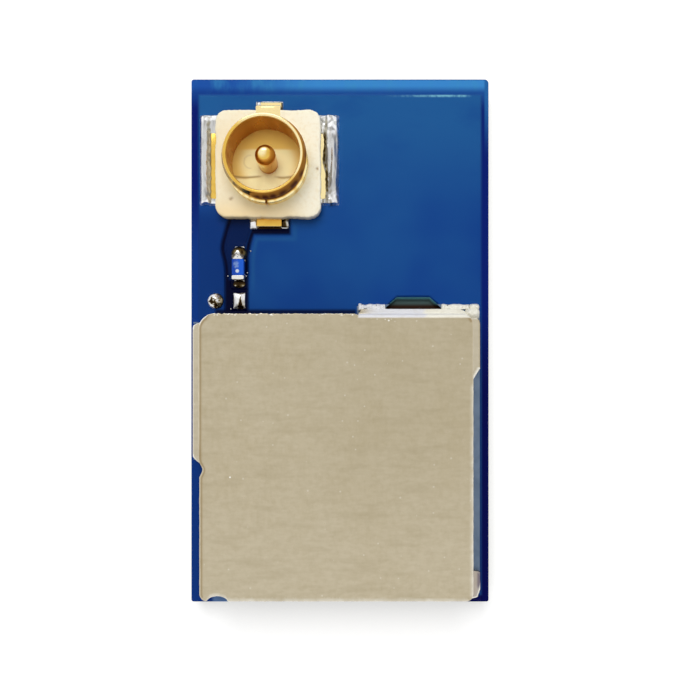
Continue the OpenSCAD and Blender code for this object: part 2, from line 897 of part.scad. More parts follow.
module main_crystal_base() {
    color("saddlebrown")
        translate([main_x, main_y, part_z])
            crystal_base(main_w, main_l);
}

module main_crystal_lid() {
    color("lightgray")
        translate([main_x, main_y, part_z])
            crystal_lid(main_w, main_l);
}

module main_crystal_terminals() {
    color("gold")
        translate([main_x, main_y, part_z])
            linear_extrude(terminal_t)
                four_pads(main_w, main_l);
}

module clock_crystal_base() {
    color("saddlebrown")
        translate([clock_x, clock_y, part_z])
            crystal_base(clock_w, clock_l);
}

module clock_crystal_lid() {
    color("lightgray")
        translate([clock_x, clock_y, part_z])
            crystal_lid(clock_w, clock_l);
}

module clock_crystal_terminals() {
    color("gold")
        translate([clock_x, clock_y, part_z])
            linear_extrude(terminal_t)
                four_pads(clock_w, clock_l);
}

module capacitor_bodies() {
    color("peru")
        translate([0, 0, part_z]) {
            for (spot = small_spots)
                translate(spot)
                    chip_middle(small_l, small_w, small_h, small_cap);
            translate([rf_x, line_part_y, 0])
                rotate(90)
                    chip_middle(small_l, small_w, small_h, small_cap);
        }
}

module capacitor_caps() {
    color("silver")
        translate([0, 0, part_z]) {
            for (spot = small_spots)
                translate(spot)
                    chip_ends(small_l, small_w, small_h, small_cap);
            translate([rf_x, line_part_y, 0])
                rotate(90)
                    chip_ends(small_l, small_w, small_h, small_cap);
        }
}

module inductor_bodies() {
    color("darkslategray")
        translate([0, 0, part_z])
            for (spot = coil_spots)
                translate(spot)
                    chip_middle(coil_l, coil_w, coil_h, coil_cap);
}

module inductor_caps() {
    color("silver")
        translate([0, 0, part_z])
            for (spot = coil_spots)
                translate(spot)
                    chip_ends(coil_l, coil_w, coil_h, coil_cap);
}

module inner_solder() {
    color("gainsboro")
        translate([0, 0, board_t])
            linear_extrude(solder_t)
                inner_pad_outline();
}

board();
top_lands();
can_land();
bottom_lands();
shield_can();
can_solder();
coax_housing();
coax_barrel();
coax_pin();
coax_ground_solder();
coax_signal_solder();
coax_tab_solder();
matching_chip_body();
matching_chip_caps();
matching_chip_solder();
spare_pad_solder();
test_point_solder();
radio_chip_body();
radio_chip_leads();
main_crystal_base();
main_crystal_lid();
main_crystal_terminals();
clock_crystal_base();
clock_crystal_lid();
clock_crystal_terminals();
capacitor_bodies();
capacitor_caps();
inductor_bodies();
inductor_caps();
inner_solder();
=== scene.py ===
# %% [markdown]
# # A radio module with an aerial socket, dressed in Blender
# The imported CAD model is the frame: each node sits in its place, in metres, and none of them is moved.
# This lesson gives every node a finish, and where a node's mesh is too plain to be looked at closely,
# it works out a finer surface with numpy that stands for that node.

# %% Load the frame
import math

import bmesh
import bpy
import numpy as np
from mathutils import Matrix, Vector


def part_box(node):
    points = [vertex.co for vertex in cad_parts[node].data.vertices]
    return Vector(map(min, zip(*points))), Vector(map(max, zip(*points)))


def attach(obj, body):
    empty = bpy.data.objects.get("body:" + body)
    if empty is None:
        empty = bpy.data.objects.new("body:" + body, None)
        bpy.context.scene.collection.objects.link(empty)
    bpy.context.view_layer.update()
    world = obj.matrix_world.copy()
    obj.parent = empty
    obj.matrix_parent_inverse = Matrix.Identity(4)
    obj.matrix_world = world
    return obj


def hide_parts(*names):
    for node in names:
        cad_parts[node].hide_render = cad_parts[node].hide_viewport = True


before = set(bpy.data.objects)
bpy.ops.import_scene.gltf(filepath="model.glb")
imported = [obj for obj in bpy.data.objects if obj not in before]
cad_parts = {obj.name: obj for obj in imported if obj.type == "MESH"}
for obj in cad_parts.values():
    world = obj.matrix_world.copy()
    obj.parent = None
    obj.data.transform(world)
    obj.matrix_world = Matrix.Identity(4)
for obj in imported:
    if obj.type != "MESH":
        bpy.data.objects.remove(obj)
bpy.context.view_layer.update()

MM = 0.001
scene = bpy.context.scene
scene.view_settings.view_transform = "Standard"


def box_mm(node):
    """Lowest and highest corner of a CAD node, in millimetres."""
    low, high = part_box(node)
    return np.array(low) / MM, np.array(high) / MM


# %% [markdown]
# ## Camera
# The photograph looks straight down on the board. The tall socket leans away from the middle of the
# picture, and how far it leans gives the distance of the lens: about 20 mm. A camera object without any
# turn looks down its own -Z with +Y upwards, which is just that view, so only its height is set.

# %% Camera above the board
CAMERA_HEIGHT = 20.5
CAMERA_NORTH = 0.012
LENS_MM = 42.0
SENSOR_MM = 36.0
CLIP_NEAR = 0.5

lens = bpy.data.cameras.new("camera_above")
lens.lens = LENS_MM
lens.sensor_width = SENSOR_MM
lens.clip_start = CLIP_NEAR * MM
camera = bpy.data.objects.new("camera_above", lens)
camera.location = (0, CAMERA_NORTH * MM, CAMERA_HEIGHT * MM)
scene.collection.objects.link(camera)
scene.camera = camera
print("picture width on the board's top in mm:",
      round(SENSOR_MM / LENS_MM * (CAMERA_HEIGHT - box_mm("board")[1][2]), 2))

# %% [markdown]
# ## Light
# The photograph was taken under a wide soft light that comes from the north, over the socket. The sky is
# white for the camera and for reflections, and softer for the light that falls on things, so colours
# render about as they are written. One area lamp gives the direction and the shadows, but stays out of
# reflections. A bright card beyond the north edge, which only reflections see, takes its place there and
# gives lips, bends and drops of solder their light streaks.

# %% Sky
SKY_SOFT = 0.50
WHITE = (1, 1, 1, 1)


def link_sum(tree, *sockets):
    """Add sockets with Math nodes and return the clamped total."""
    total = sockets[0]
    for socket in sockets[1:]:
        step = tree.nodes.new("ShaderNodeMath")
        step.use_clamp = True
        tree.links.new(total, step.inputs[0])
        tree.links.new(socket, step.inputs[1])
        total = step.outputs[0]
    return total


sky = bpy.data.worlds.new("studio_sky")
scene.world = sky
sky.use_nodes = True
sky_tree = sky.node_tree
ray = sky_tree.nodes.new("ShaderNodeLightPath")
seen = link_sum(sky_tree, ray.outputs["Is Camera Ray"], ray.outputs["Is Glossy Ray"],
                ray.outputs["Is Transmission Ray"])
level = sky_tree.nodes.new("ShaderNodeMapRange")
level.inputs["To Min"].default_value = SKY_SOFT
sky_tree.links.new(seen, level.inputs["Value"])
sky_tree.nodes["Background"].inputs["Color"].default_value = WHITE
sky_tree.links.new(level.outputs["Result"], sky_tree.nodes["Background"].inputs["Strength"])
print("sky of", SKY_SOFT, "for the light that falls on things")

# %% Lamp in the north
KEY_PLACE = (-5.0, 20.0, 42.0)
KEY_SIZE = 24.0
KEY_WATTS = 0.0115

key = bpy.data.lights.new("north_lamp", "AREA")
key.energy = KEY_WATTS
key.size = KEY_SIZE * MM
key_lamp = bpy.data.objects.new("north_lamp", key)
key_lamp.location = [value * MM for value in KEY_PLACE]
key_lamp.rotation_euler = key_lamp.location.to_track_quat("Z", "Y").to_euler()
key_lamp.visible_glossy = False
scene.collection.objects.link(key_lamp)
print("lamp at", KEY_PLACE, "mm with", KEY_WATTS * 1000, "mW")

# %% Card that only reflections see
GLOW_LOW = (-22.0, 30.0, 30.0)
GLOW_HIGH = (6.0, 46.0, 30.0)
GLOW = 4.0


def flat_sheet(name, low, high, finish):
    """A level rectangle between two corners, for the stage."""
    corners = [(low[0], low[1]), (high[0], low[1]), (high[0], high[1]), (low[0], high[1])]
    mesh = bpy.data.meshes.new(name)
    mesh.from_pydata([(x * MM, y * MM, low[2] * MM) for x, y in corners], [], [(0, 1, 2, 3)])
    mesh.materials.append(finish)
    sheet = bpy.data.objects.new(name, mesh)
    scene.collection.objects.link(sheet)
    return sheet


card_finish = bpy.data.materials.new("bright_card")
card_finish.use_nodes = True
card_tree = card_finish.node_tree
card_tree.nodes.clear()
glow = card_tree.nodes.new("ShaderNodeEmission")
glow.inputs["Strength"].default_value = GLOW
card_tree.links.new(glow.outputs[0], card_tree.nodes.new("ShaderNodeOutputMaterial").inputs["Surface"])
card = flat_sheet("bright_card", GLOW_LOW, GLOW_HIGH, card_finish)
card.visible_camera = False
card.visible_diffuse = False
card.visible_shadow = False
card.visible_transmission = False
print("card of strength", GLOW)

# %% Floor
FLOOR_HALF = 150.0
FLOOR_DROP = 0.02
FLOOR_GREY = (0.86, 0.86, 0.86, 1)
FLOOR_ROUGH = 0.9
FLOOR_LIFT = 0.40

floor_finish = bpy.data.materials.new("pale_floor")
floor_finish.use_nodes = True
floor_tree = floor_finish.node_tree
floor_shader = floor_tree.nodes["Principled BSDF"]
floor_shader.inputs["Base Color"].default_value = FLOOR_GREY
floor_shader.inputs["Roughness"].default_value = FLOOR_ROUGH
floor_shader.inputs["Specular IOR Level"].default_value = 0.0
floor_shader.inputs["Emission Color"].default_value = WHITE
floor_ray = floor_tree.nodes.new("ShaderNodeLightPath")
floor_lift = floor_tree.nodes.new("ShaderNodeMath")
floor_lift.operation = "MULTIPLY"
floor_lift.inputs[1].default_value = FLOOR_LIFT
floor_seen = link_sum(floor_tree, floor_ray.outputs["Is Camera Ray"], floor_ray.outputs["Is Glossy Ray"])
floor_tree.links.new(floor_seen, floor_lift.inputs[0])
floor_tree.links.new(floor_lift.outputs[0], floor_shader.inputs["Emission Strength"])
flat_sheet("pale_floor", (-FLOOR_HALF, -FLOOR_HALF, -FLOOR_DROP),
           (FLOOR_HALF, FLOOR_HALF, -FLOOR_DROP), floor_finish)
print("floor", FLOOR_DROP, "mm under the board")

# %% [markdown]
# ## Tools for finishes
# Every finish is one Principled shader with a few texture nodes. They read Object coordinates, which are
# the same for all pieces here because every object sits at the origin. A Mapping node turns metres into
# millimetres, so that the size of a grain or a spot can be written as it would be measured.


# %% Helpers that add nodes
def plug(socket, value):
    """Feed an input: link the output socket that is given, or set the number or colour."""
    if isinstance(value, bpy.types.NodeSocket):
        socket.id_data.links.new(value, socket)
    else:
        socket.default_value = value


def feed(node, **inputs):
    """Feed a node's inputs by name, with _ for a space."""
    for label, value in inputs.items():
        plug(node.inputs[label.replace("_", " ")], value)


def new_finish(name, **sockets):
    """A material and its Principled shader. A number that holds all over goes straight on its socket."""
    finish = bpy.data.materials.new(name)
    finish.use_nodes = True
    shader = finish.node_tree.nodes["Principled BSDF"]
    feed(shader, **sockets)
    return finish, shader


def add(owner, kind, settings=None, **inputs):
    """Add a node to the tree that the owner, a node or a socket, belongs to."""
    node = owner.id_data.nodes.new(kind)
    for label, value in (settings or {}).items():
        setattr(node, label, value)
    feed(node, **inputs)
    return node


def painted(shader, name):
    """The values that the mesh carries under this name."""
    return add(shader, "ShaderNodeAttribute", {"attribute_name": name}).outputs["Fac"]


def place(shader, stretch=(1, 1, 1)):
    """Object coordinates in millimetres, stretched where a pattern runs one way."""
    coords = add(shader, "ShaderNodeTexCoord").outputs["Object"]
    return add(shader, "ShaderNodeMapping", Vector=coords,
               Scale=[value / MM for value in stretch]).outputs[0]


def axis(shader, name):
    """One coordinate of the place, in millimetres."""
    return add(shader, "ShaderNodeSeparateXYZ", Vector=place(shader)).outputs[name]


def noise(shader, size, detail=3.0, stretch=(1, 1, 1), roughness=0.55):
    """Cloudy noise from 0 to 1 whose lumps are about `size` millimetres."""
    return add(shader, "ShaderNodeTexNoise", Vector=place(shader, stretch), Scale=1 / size,
               Detail=detail, Roughness=roughness).outputs["Fac"]


print("helpers for sources of a pattern ready")


# %% Helpers that shape and mix values
def ramp(value, start, stop, low=0.0, high=1.0):
    """Ease from low to high while value goes from start to stop."""
    node = add(value, "ShaderNodeMapRange", {"interpolation_type": "SMOOTHSTEP"}, Value=value,
               From_Min=start, From_Max=stop, To_Min=low, To_Max=high)
    return node.outputs["Result"]


def times(first, second):
    """Product of a value and another value or number."""
    node = add(first, "ShaderNodeMath", {"operation": "MULTIPLY"})
    plug(node.inputs[0], first)
    plug(node.inputs[1], second)
    return node.outputs[0]


def window(value, span, soft):
    """1 where value lies between the two ends of the span, easing off over `soft` on both sides."""
    start, stop = span
    return times(ramp(value, start - soft, start + soft), ramp(value, stop + soft, stop - soft))


def tint(share, first, second):
    """Colour that goes from first to second as share goes from 0 to 1. Each is a colour or a socket."""
    node = add(share, "ShaderNodeMix", {"data_type": "RGBA"})
    plug(node.inputs["Factor"], share)
    for label, value in (("A", first), ("B", second)):
        socket = next(s for s in node.inputs if s.name == label and s.type == "RGBA")
        plug(socket, value if isinstance(value, bpy.types.NodeSocket) else (*value, 1))
    return next(s for s in node.outputs if s.type == "RGBA")


def relief(height, depth, under=None):
    """Bump from a height that goes from 0 to 1, `depth` millimetres deep."""
    node = add(height, "ShaderNodeBump", Height=height, Distance=depth * MM)
    if under is not None:
        plug(node.inputs["Normal"], under)
    return node.outputs["Normal"]


def specks(shader, spacing, radius, share):
    """Small round spots: 1 inside a spot. One cell in about 1/share of a `spacing` mm mesh has one."""
    cells = add(shader, "ShaderNodeTexVoronoi", Vector=place(shader), Scale=1 / spacing)
    spot = ramp(cells.outputs["Distance"], radius / spacing, 0.6 * radius / spacing)
    pick = add(shader, "ShaderNodeSeparateColor", Color=cells.outputs["Color"]).outputs[0]
    return times(spot, ramp(pick, share, share * 0.9))


print("helpers for values and colours ready")

# %% [markdown]
# ## Tools for surfaces
# A surface is a grid of points: rows and columns of an array with three numbers each. Neighbours in the
# grid are joined by four-sided faces. A plate with round corners is such a grid, and its edge is a loop
# that a profile can be carried along, as a moulding runs round a table top. Grids that share their edge
# points are welded, which closes the piece.

# %% Helpers that lay grids
CORNERS = ((-1, -1), (1, -1), (1, 1), (-1, 1))


def ease(t):
    """Smooth step: 3t² - 2t³ between 0 and 1."""
    t = np.clip(t, 0, 1)
    return t * t * (3 - 2 * t)


def ripple(x, y, wave, seed, count=16):
    """Uneven relief of about -1 to 1: the sum of plane waves of about `wave` mm in random directions."""
    rng = np.random.default_rng(seed)
    turn, phase = rng.uniform(0, 2 * np.pi, (2, count))
    pitch = 2 * np.pi / (wave * rng.uniform(0.6, 1.6, count))
    swing = x[..., None] * np.cos(turn) * pitch + y[..., None] * np.sin(turn) * pitch + phase
    return np.sin(swing).sum(-1) / np.sqrt(2 * count)


def ruled(low, high, coarse, *fine):
    """Grid lines from low to high, `coarse` apart, and closer inside each span (start, stop, step)."""
    lines = np.arange(low, high, coarse)
    for start, stop, step in fine:
        lines = lines[(lines < start - step / 2) | (lines > stop + step / 2)]
    spans = [np.arange(start, stop + step / 2, step) for start, stop, step in fine]
    lines = np.unique(np.concatenate([lines, *spans, [low, high]]).round(4))
    return lines[(lines >= low) & (lines <= high)]


def plate(xs, ys, radii):
    """Plan of a plate with round corners: in each corner square, of side r, the point (u, v) moves to
    (u √(1 - v²/2), v √(1 - u²/2)), which bends the square's two outer sides into a quarter circle."""
    x, y = np.meshgrid(xs, ys)
    for (side_x, side_y), r in zip(CORNERS, radii):
        mid_x = (xs[-1] if side_x > 0 else xs[0]) - side_x * r
        mid_y = (ys[-1] if side_y > 0 else ys[0]) - side_y * r
        u = np.clip((x - mid_x) * side_x / r, 0, 1)
        v = np.clip((y - mid_y) * side_y / r, 0, 1)
        bent = (u > 0) & (v > 0)
        x = np.where(bent, mid_x + side_x * r * u * np.sqrt(1 - v * v / 2), x)
        y = np.where(bent, mid_y + side_y * r * v * np.sqrt(1 - u * u / 2), y)
    return x, y


print("grid helpers ready")


# %% Helpers that carry a profile round an edge
def rim(grid):
    """The edge of a grid as one loop, counter-clockwise from its first corner."""
    return np.concatenate([grid[0, :-1], grid[:-1, -1], grid[-1, :0:-1], grid[:0:-1, 0]])


def outward(loop):
    """Unit normals of a plan loop: the step between a point's neighbours, turned a quarter to the right."""
    run = np.roll(loop, -1, axis=0) - np.roll(loop, 1, axis=0)
    normal = np.stack([run[:, 1], -run[:, 0]], axis=1)
    return normal / np.linalg.norm(normal, axis=1, keepdims=True)


def carry(loop, normal, out, up):
    """Rings round a loop: ring k lies out[k] beyond it at the height up[k], and both may vary along it."""
    out, up = np.broadcast_arrays(*(np.asarray(part, float) for part in (out, up)))
    out, up = (np.broadcast_to(part, (len(part), len(loop))) for part in (out, up))
    flat = loop[None] + normal[None] * out[..., None]
    return np.concatenate([flat, up[..., None]], axis=2)


def column(*values):
    """Values of a profile as an upright array, to be broadcast along a loop."""
    return np.array(values, float)[:, None]


def quads(rows, columns, wrap):
    """Corners of the cells of a grid of points; wrap joins the last column to the first."""
    row = np.arange(rows - 1)[:, None] * columns
    here = np.arange(columns if wrap else columns - 1)[None]
    after = (here + 1) % columns
    cells = [row + here, row + after, row + columns + after, row + columns + here]
    return np.stack(cells, axis=-1).reshape(-1, 4)


print("profile helpers ready")

# %% Helper that makes a piece of grids
WELD = 0.0004 * MM


def make_piece(name, node, finish, sheets, caps=(), paint=None, sharp=38):
    """Weld grids of points in mm into one mesh that stands for a CAD node. A sheet is (points, wrap) and a
    cap is a loop closed by one flat face. paint gives a value for each point of the sheets by name."""
    points, faces, start = [], [], 0
    for grid, wrap in sheets:
        rows, columns = grid.shape[:2]
        points.append(grid.reshape(-1, 3))
        faces += (quads(rows, columns, wrap) + start).tolist()
        start += rows * columns
    for loop in caps:
        points.append(loop)
        faces.append(list(range(start, start + len(loop))))
        start += len(loop)
    mesh = bpy.data.meshes.new(name)
    mesh.from_pydata(np.concatenate(points) * MM, [], faces)
    for label, values in (paint or {}).items():
        values = np.concatenate([values, np.zeros(start - len(values))])
        layer = mesh.attributes.new(label, "FLOAT", "POINT")
        layer.data.foreach_set("value", values.astype(np.float32))
    form = bmesh.new()
    form.from_mesh(mesh)
    bmesh.ops.remove_doubles(form, verts=form.verts, dist=WELD)
    bmesh.ops.recalc_face_normals(form, faces=form.faces)
    open_edges = sum(not edge.is_manifold for edge in form.edges)
    form.to_mesh(mesh)
    form.free()
    mesh.polygons.foreach_set("use_smooth", np.ones(len(mesh.polygons), bool))
    mesh.set_sharp_from_angle(angle=math.radians(sharp))
    mesh.materials.append(finish)
    piece = bpy.data.objects.new(name, mesh)
    scene.collection.objects.link(piece)
    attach(piece, "root")
    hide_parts(node)
    print(name, "stands for", node, "with", len(mesh.polygons), "faces,", open_edges, "open edges")


# %% [markdown]
# ## Circuit board
# The board is glass laminate under a blue glossy coating. Where copper lies under the coating, the surface
# stands a little higher and the blue is lighter; bare gaps look navy. A boolean would give hard steps, so
# the top is a height field instead: the distance of each grid point to the edge of the copper is worked
# out with numpy, and an ease of that distance gives both the soft step and the colour.

# %% Where the copper lies
COPPER = 0.03
POUR_SIDE, POUR_NORTH = 0.19, 0.40
LINE_CLEAR = 0.12
LINE_END_Y = 1.53
CLEAR_WEST, CLEAR_EAST, CLEAR_TOP_Y = 0.305, 0.17, 3.1
BULGE, BULGE_Y, BULGE_LONG = 0.105, 2.30, 0.33
LEAN_IN, LEAN_IN_Y = 0.5, 2.6
LEAN_OUT, LEAN_OUT_Y = 0.25, 1.9
BAND_WEST, BAND_EAST, BAND_SOUTH_Y = 0.64, 0.52, 2.63

board_low, board_high = box_mm("board")
housing_low, housing_high = box_mm("coax_housing")
can_low, can_high = box_mm("shield_can")
SLAB_TOP = board_high[2] - COPPER
socket_x, socket_y = (housing_low + housing_high)[:2] / 2
chip_low, chip_high = box_mm("matching_chip_caps")
line_x = (chip_low[0] + chip_high[0]) / 2


def inside_box(x, y, low, high):
    """Distance to the nearest side of a rectangle, positive inside it."""
    return np.minimum.reduce([x - low[0], high[0] - x, y - low[1], high[1] - y])


def gap_middles(y):
    """Where the gaps on the west and east of the radio line run: the west one bulges round the upper pad
    as a bell curve and leans in above it, the east one leans out as a parabola."""
    bulge = BULGE * np.exp(-(((y - BULGE_Y) / BULGE_LONG) ** 2))
    west = line_x - CLEAR_WEST - bulge + LEAN_IN * np.maximum(0, y - LEAN_IN_Y) ** 2
    east = line_x + CLEAR_EAST + LEAN_OUT * np.maximum(0, y - LEAN_OUT_Y) ** 2
    return west, east


def line_depth(x, y):
    """Distance into the copper of the radio line, between its two gaps."""
    west, east = gap_middles(y)
    return np.minimum.reduce([x - west - LINE_CLEAR / 2, east - LINE_CLEAR / 2 - x, y - LINE_END_Y])


def pour_depth(x, y):
    """Distance into the pour, which stops short of the line's gaps and of a band round the tail's land."""
    west, east = gap_middles(y)
    pour = inside_box(x, y, board_low[:2] + POUR_SIDE, board_high[:2] - (POUR_SIDE, POUR_NORTH))
    clear = np.minimum.reduce([x - west + LINE_CLEAR / 2, east + LINE_CLEAR / 2 - x, CLEAR_TOP_Y - y])
    band = inside_box(x, y, (socket_x - BAND_WEST, BAND_SOUTH_Y), (socket_x + BAND_EAST, CLEAR_TOP_Y))
    return np.minimum.reduce([pour, -clear, -band])


print("line at x", round(line_x, 3), "mm; socket at", round(socket_x, 3), round(socket_y, 3), "mm")

# %% [markdown]
# The coating climbs a little over the edge of each land and leaves its middle bare, and a slot is routed
# into the board in front of the can's north foot. Lands are rectangles here, so a point's distance to
# their sides says at once whether it lies on the board, on the coating's lip or in the opening.

# %% Slot, lands and pads
SLOT_MID, SLOT_WIDE, SLOT_TIP = 1.82, 0.71, 0.41
SLOT_SOUTH, SLOT_BEND, SLOT_NORTH = 0.60, 0.82, 1.09
WEST_WALL_IN = 0.31
LAND_COVER, TAB_COVER, GROUND_COVER, HOUSING_COVER = 0.035, 0.085, 0.07, 0.1
CHIP_COVER_SOUTH, CHIP_COVER_NORTH = (0.10, 0.05), (0.10, 0.10)
PAD_UNDER = 0.1

land_low, land_high = box_mm("can_land")
west_wall = can_low[0] + WEST_WALL_IN
# Low and high corners under the can's walls, the corner foot, the west foot and the north foot
LAND_BOXES = (((west_wall, -6.16), (land_high[0], 0.66)), ((2.9, land_low[1]), (land_high[0], -5.6)),
              ((land_low[0], -2.97), (west_wall, 0.47)), ((0.42, 0.6), land_high[:2]))
# The same for the part of that land which the coating leaves bare
BARE_BOXES = (((west_wall, -6.16), (land_high[0], 0.58)), ((2.9, -6.25), (land_high[0], -5.6)),
              ((land_low[0], -2.84), (west_wall, 0.34)), ((0.46, 0.5), (3.2, land_high[1] - 0.03)))


def slot_depth(x, y):
    """Distance into the locating slot, whose sides close in north of the can's foot."""
    share = np.clip((y - SLOT_BEND) / (SLOT_NORTH - SLOT_BEND), 0, 1)
    half = SLOT_WIDE + (SLOT_TIP - SLOT_WIDE) * share
    return np.minimum.reduce([half - np.abs(x - SLOT_MID), y - SLOT_SOUTH, SLOT_NORTH - y])


def inside_boxes(x, y, boxes):
    """Distance into the rectangle that a point lies deepest in."""
    return np.maximum.reduce([inside_box(x, y, *corners) for corners in boxes])


def pads():
    """Low and high corner of each pad and how far the coating lies over its edges, across and along."""
    rows = [(*box_mm(node), (LAND_COVER, LAND_COVER))
            for node in ("coax_signal_solder", "spare_pad_solder")]
    rows.append((*box_mm("coax_tab_solder"), (TAB_COVER, LAND_COVER)))
    low, high = box_mm("coax_ground_solder")
    cover = (GROUND_COVER, GROUND_COVER)
    rows += [(low, (housing_low[0] + PAD_UNDER, high[1]), cover),
             ((housing_high[0] - PAD_UNDER, low[1]), high, cover)]
    low, high = box_mm("matching_chip_solder")
    rows += [(low, (high[0], chip_low[1] + PAD_UNDER), CHIP_COVER_SOUTH),
             ((low[0], chip_high[1] - PAD_UNDER), high, CHIP_COVER_NORTH)]
    return rows + [(housing_low, housing_high, (HOUSING_COVER, HOUSING_COVER))]


def test_depth(x, y):
    """Distance into the round test point."""
    low, high = box_mm("test_point_solder")
    return (high - low)[0] / 2 - np.hypot(x - (low + high)[0] / 2, y - (low + high)[1] / 2)


print(len(pads()), "pads and a round test point")

# %% Height of the board's top
STEP_WIDTH, TONE_WIDTH = 0.035, 0.10
EDGE_ROUND = 0.03
BOARD_CORNERS = (0.02, 0.02, 0.07, 0.03)
LAND_DIP, COAT_OVER = 0.045, 0.004
SLOT_DEEP, SLOT_WALL = 0.24, 0.15
COAT_WAVE, COAT_WAVE_LONG = 0.0012, 1.4
# Strength, place and width of a painted highlight along the pour's edge, and where it runs
BRIGHT_EDGE, BRIGHT_IN, BRIGHT_WIDE = 0.6, 0.11, 0.05
BRIGHT_EAST_X, BRIGHT_SOUTH_Y, BRIGHT_NORTH_Y = -0.8, 1.0, 3.0
BOARD_GRID = 0.12
# Closer grid lines (start, stop, step) where the copper, the slot and the pads have their edges
FINE_X = ((-3.67, -1.12, 0.024), (1.03, 2.61, 0.03), (3.41, 3.67, 0.02))
FINE_Y = ((-6.47, -6.2, 0.02), (0.52, 3.1, 0.024), (5.98, 6.2, 0.02), (6.38, 6.47, 0.02))

board_xs = ruled(board_low[0] + EDGE_ROUND, board_high[0] - EDGE_ROUND, BOARD_GRID, *FINE_X)
board_ys = ruled(board_low[1] + EDGE_ROUND, board_high[1] - EDGE_ROUND, BOARD_GRID, *FINE_Y)
top_x, top_y = plate(board_xs, board_ys, BOARD_CORNERS)
in_pour = pour_depth(top_x, top_y)
in_line = line_depth(top_x, top_y)
in_pads, in_bare = [test_depth(top_x, top_y)], [test_depth(top_x, top_y) - LAND_COVER]
for low, high, cover in pads():
    in_pads.append(inside_box(top_x, top_y, low, high))
    in_bare.append(inside_box(top_x, top_y, np.add(low[:2], cover), np.subtract(high[:2], cover)))
copper_share = ease(np.maximum(in_pour, in_line) / STEP_WIDTH + 0.5)
copper_tone = ease(np.maximum(in_pour, in_line) / TONE_WIDTH + 0.5)
line_share = ease(in_line / STEP_WIDTH + 0.5)
# Painted highlight: a lighter teal line just inside the pour's edge east of the radio line, where the step
# would catch the light
beside_line = (ease((top_x - line_x) / 0.1) * ease((BRIGHT_EAST_X - top_x) / 0.4)
               * ease((BRIGHT_NORTH_Y - top_y) / 0.2))
edge_highlight = (BRIGHT_EDGE * np.exp(-(((in_pour - BRIGHT_IN) / BRIGHT_WIDE) ** 2)) * beside_line
               * ease((top_y - BRIGHT_SOUTH_Y) / 0.6))
slot_share = ease(slot_depth(top_x, top_y) / SLOT_WALL + 0.25)
top_z = SLAB_TOP + COPPER * copper_share
climb = np.maximum.reduce([*in_pads, inside_boxes(top_x, top_y, LAND_BOXES)])
top_z += (board_high[2] + COAT_OVER - top_z) * ease(climb / STEP_WIDTH + 1.2)
opening = ease(np.maximum.reduce([*in_bare, inside_boxes(top_x, top_y, BARE_BOXES)]) / STEP_WIDTH + 0.55)
top_z += (board_high[2] - LAND_DIP - top_z) * opening
top_z += (SLAB_TOP - SLOT_DEEP - top_z) * slot_share
top_z += COAT_WAVE * ripple(top_x, top_y, COAT_WAVE_LONG, 3) * (1 - slot_share)
board_top = np.stack([top_x, top_y, top_z], axis=-1)
print("board grid", board_top.shape[:2])

# %% Edge of the board
UNDERSIDE = 0.012

board_loop = rim(board_top)
turn = np.linspace(0, np.pi / 2, 5)[1:, None]
edge_out = np.concatenate([column(0), EDGE_ROUND * np.sin(turn), column(EDGE_ROUND, EDGE_ROUND),
                           EDGE_ROUND * np.sin(turn[::-1]), column(0)])
edge_up = np.concatenate([board_loop[None, :, 2], board_loop[:, 2] - EDGE_ROUND * (1 - np.cos(turn)),
                          np.full((2, len(board_loop)), (board_high[2] + UNDERSIDE) / 2),
                          np.broadcast_to(UNDERSIDE + EDGE_ROUND * (1 - np.cos(turn[::-1])),
                                          (len(turn), len(board_loop))),
                          np.full((1, len(board_loop)), UNDERSIDE)])
board_side = carry(board_loop[:, :2], outward(board_loop[:, :2]), edge_out, edge_up)
print(len(board_loop), "points along the board's edge")

# %% [markdown]
# The coating is a clear blue lacquer: navy over bare laminate, lighter over copper, with a soft cloudiness.
# The strip along the north edge is painted sky blue, a painted reflection of the light from the north.
# Below the coating the laminate shows in the slot and on the sawn edges, in olive layers of glass cloth.
# The share of copper comes with the mesh as an attribute, so the colour follows the step exactly.

# %% Blue coating over copper and over bare board
POUR_BLUE = (0.0060, 0.050, 0.248)
POUR_TEAL = (0.0150, 0.104, 0.300)
POUR_WEST = (0.0040, 0.031, 0.165)
EDGE_HIGHLIGHT_TEAL = (0.0160, 0.100, 0.285)
LINE_TEAL = (0.0020, 0.0125, 0.072)
WEST_NAVY = (0.0045, 0.037, 0.220)
WEST_NAVY_UPPER = (0.0018, 0.0095, 0.142)
EAST_NAVY = (0.0018, 0.0120, 0.152)
EAST_NAVY_LOWER = (0.0004, 0.0022, 0.080)
LINE_NAVY = (0.0002, 0.0012, 0.0180)
LINE_EAST, LINE_NORTH = (-3.0, -1.05), (0.5, 3.2)

coat, coat_shader = new_finish("blue_coat", Roughness=0.18, Specular_IOR_Level=0.04)
copper_value, line_value, edge_highlight_value = (painted(coat_shader, name) for name in ("copper", "line", "edge"))
east_mm, north_mm, up_mm = (axis(coat_shader, name) for name in "XYZ")
cloud = noise(coat_shader, 2.6, 2.0)
pour_colour = tint(ramp(cloud, 0.35, 0.75, 0.0, 0.45), POUR_BLUE, POUR_TEAL)
to_north = ramp(north_mm, 2.5, 5.7, 0.0, 0.85)
pour_colour = tint(to_north, pour_colour, POUR_TEAL)
haze = ramp(noise(coat_shader, 0.9, 3.0, (0.6, 1, 1)), 0.45, 0.75, 0.0, 0.45)
pour_colour = tint(times(haze, to_north), pour_colour, POUR_BLUE)
by_line = times(ramp(east_mm, -2.5, -2.75), ramp(north_mm, 3.6, 2.9))
pour_colour = tint(times(by_line, 0.85), pour_colour, POUR_WEST)
pour_colour = tint(edge_highlight_value, pour_colour, EDGE_HIGHLIGHT_TEAL)
pour_colour = tint(line_value, pour_colour, LINE_TEAL)
west_bare = tint(ramp(north_mm, 2.0, 4.0), WEST_NAVY, WEST_NAVY_UPPER)
east_bare = tint(ramp(north_mm, 1.5, -1.5), EAST_NAVY, EAST_NAVY_LOWER)
bare_colour = tint(ramp(east_mm, -3.0, 3.0), west_bare, east_bare)
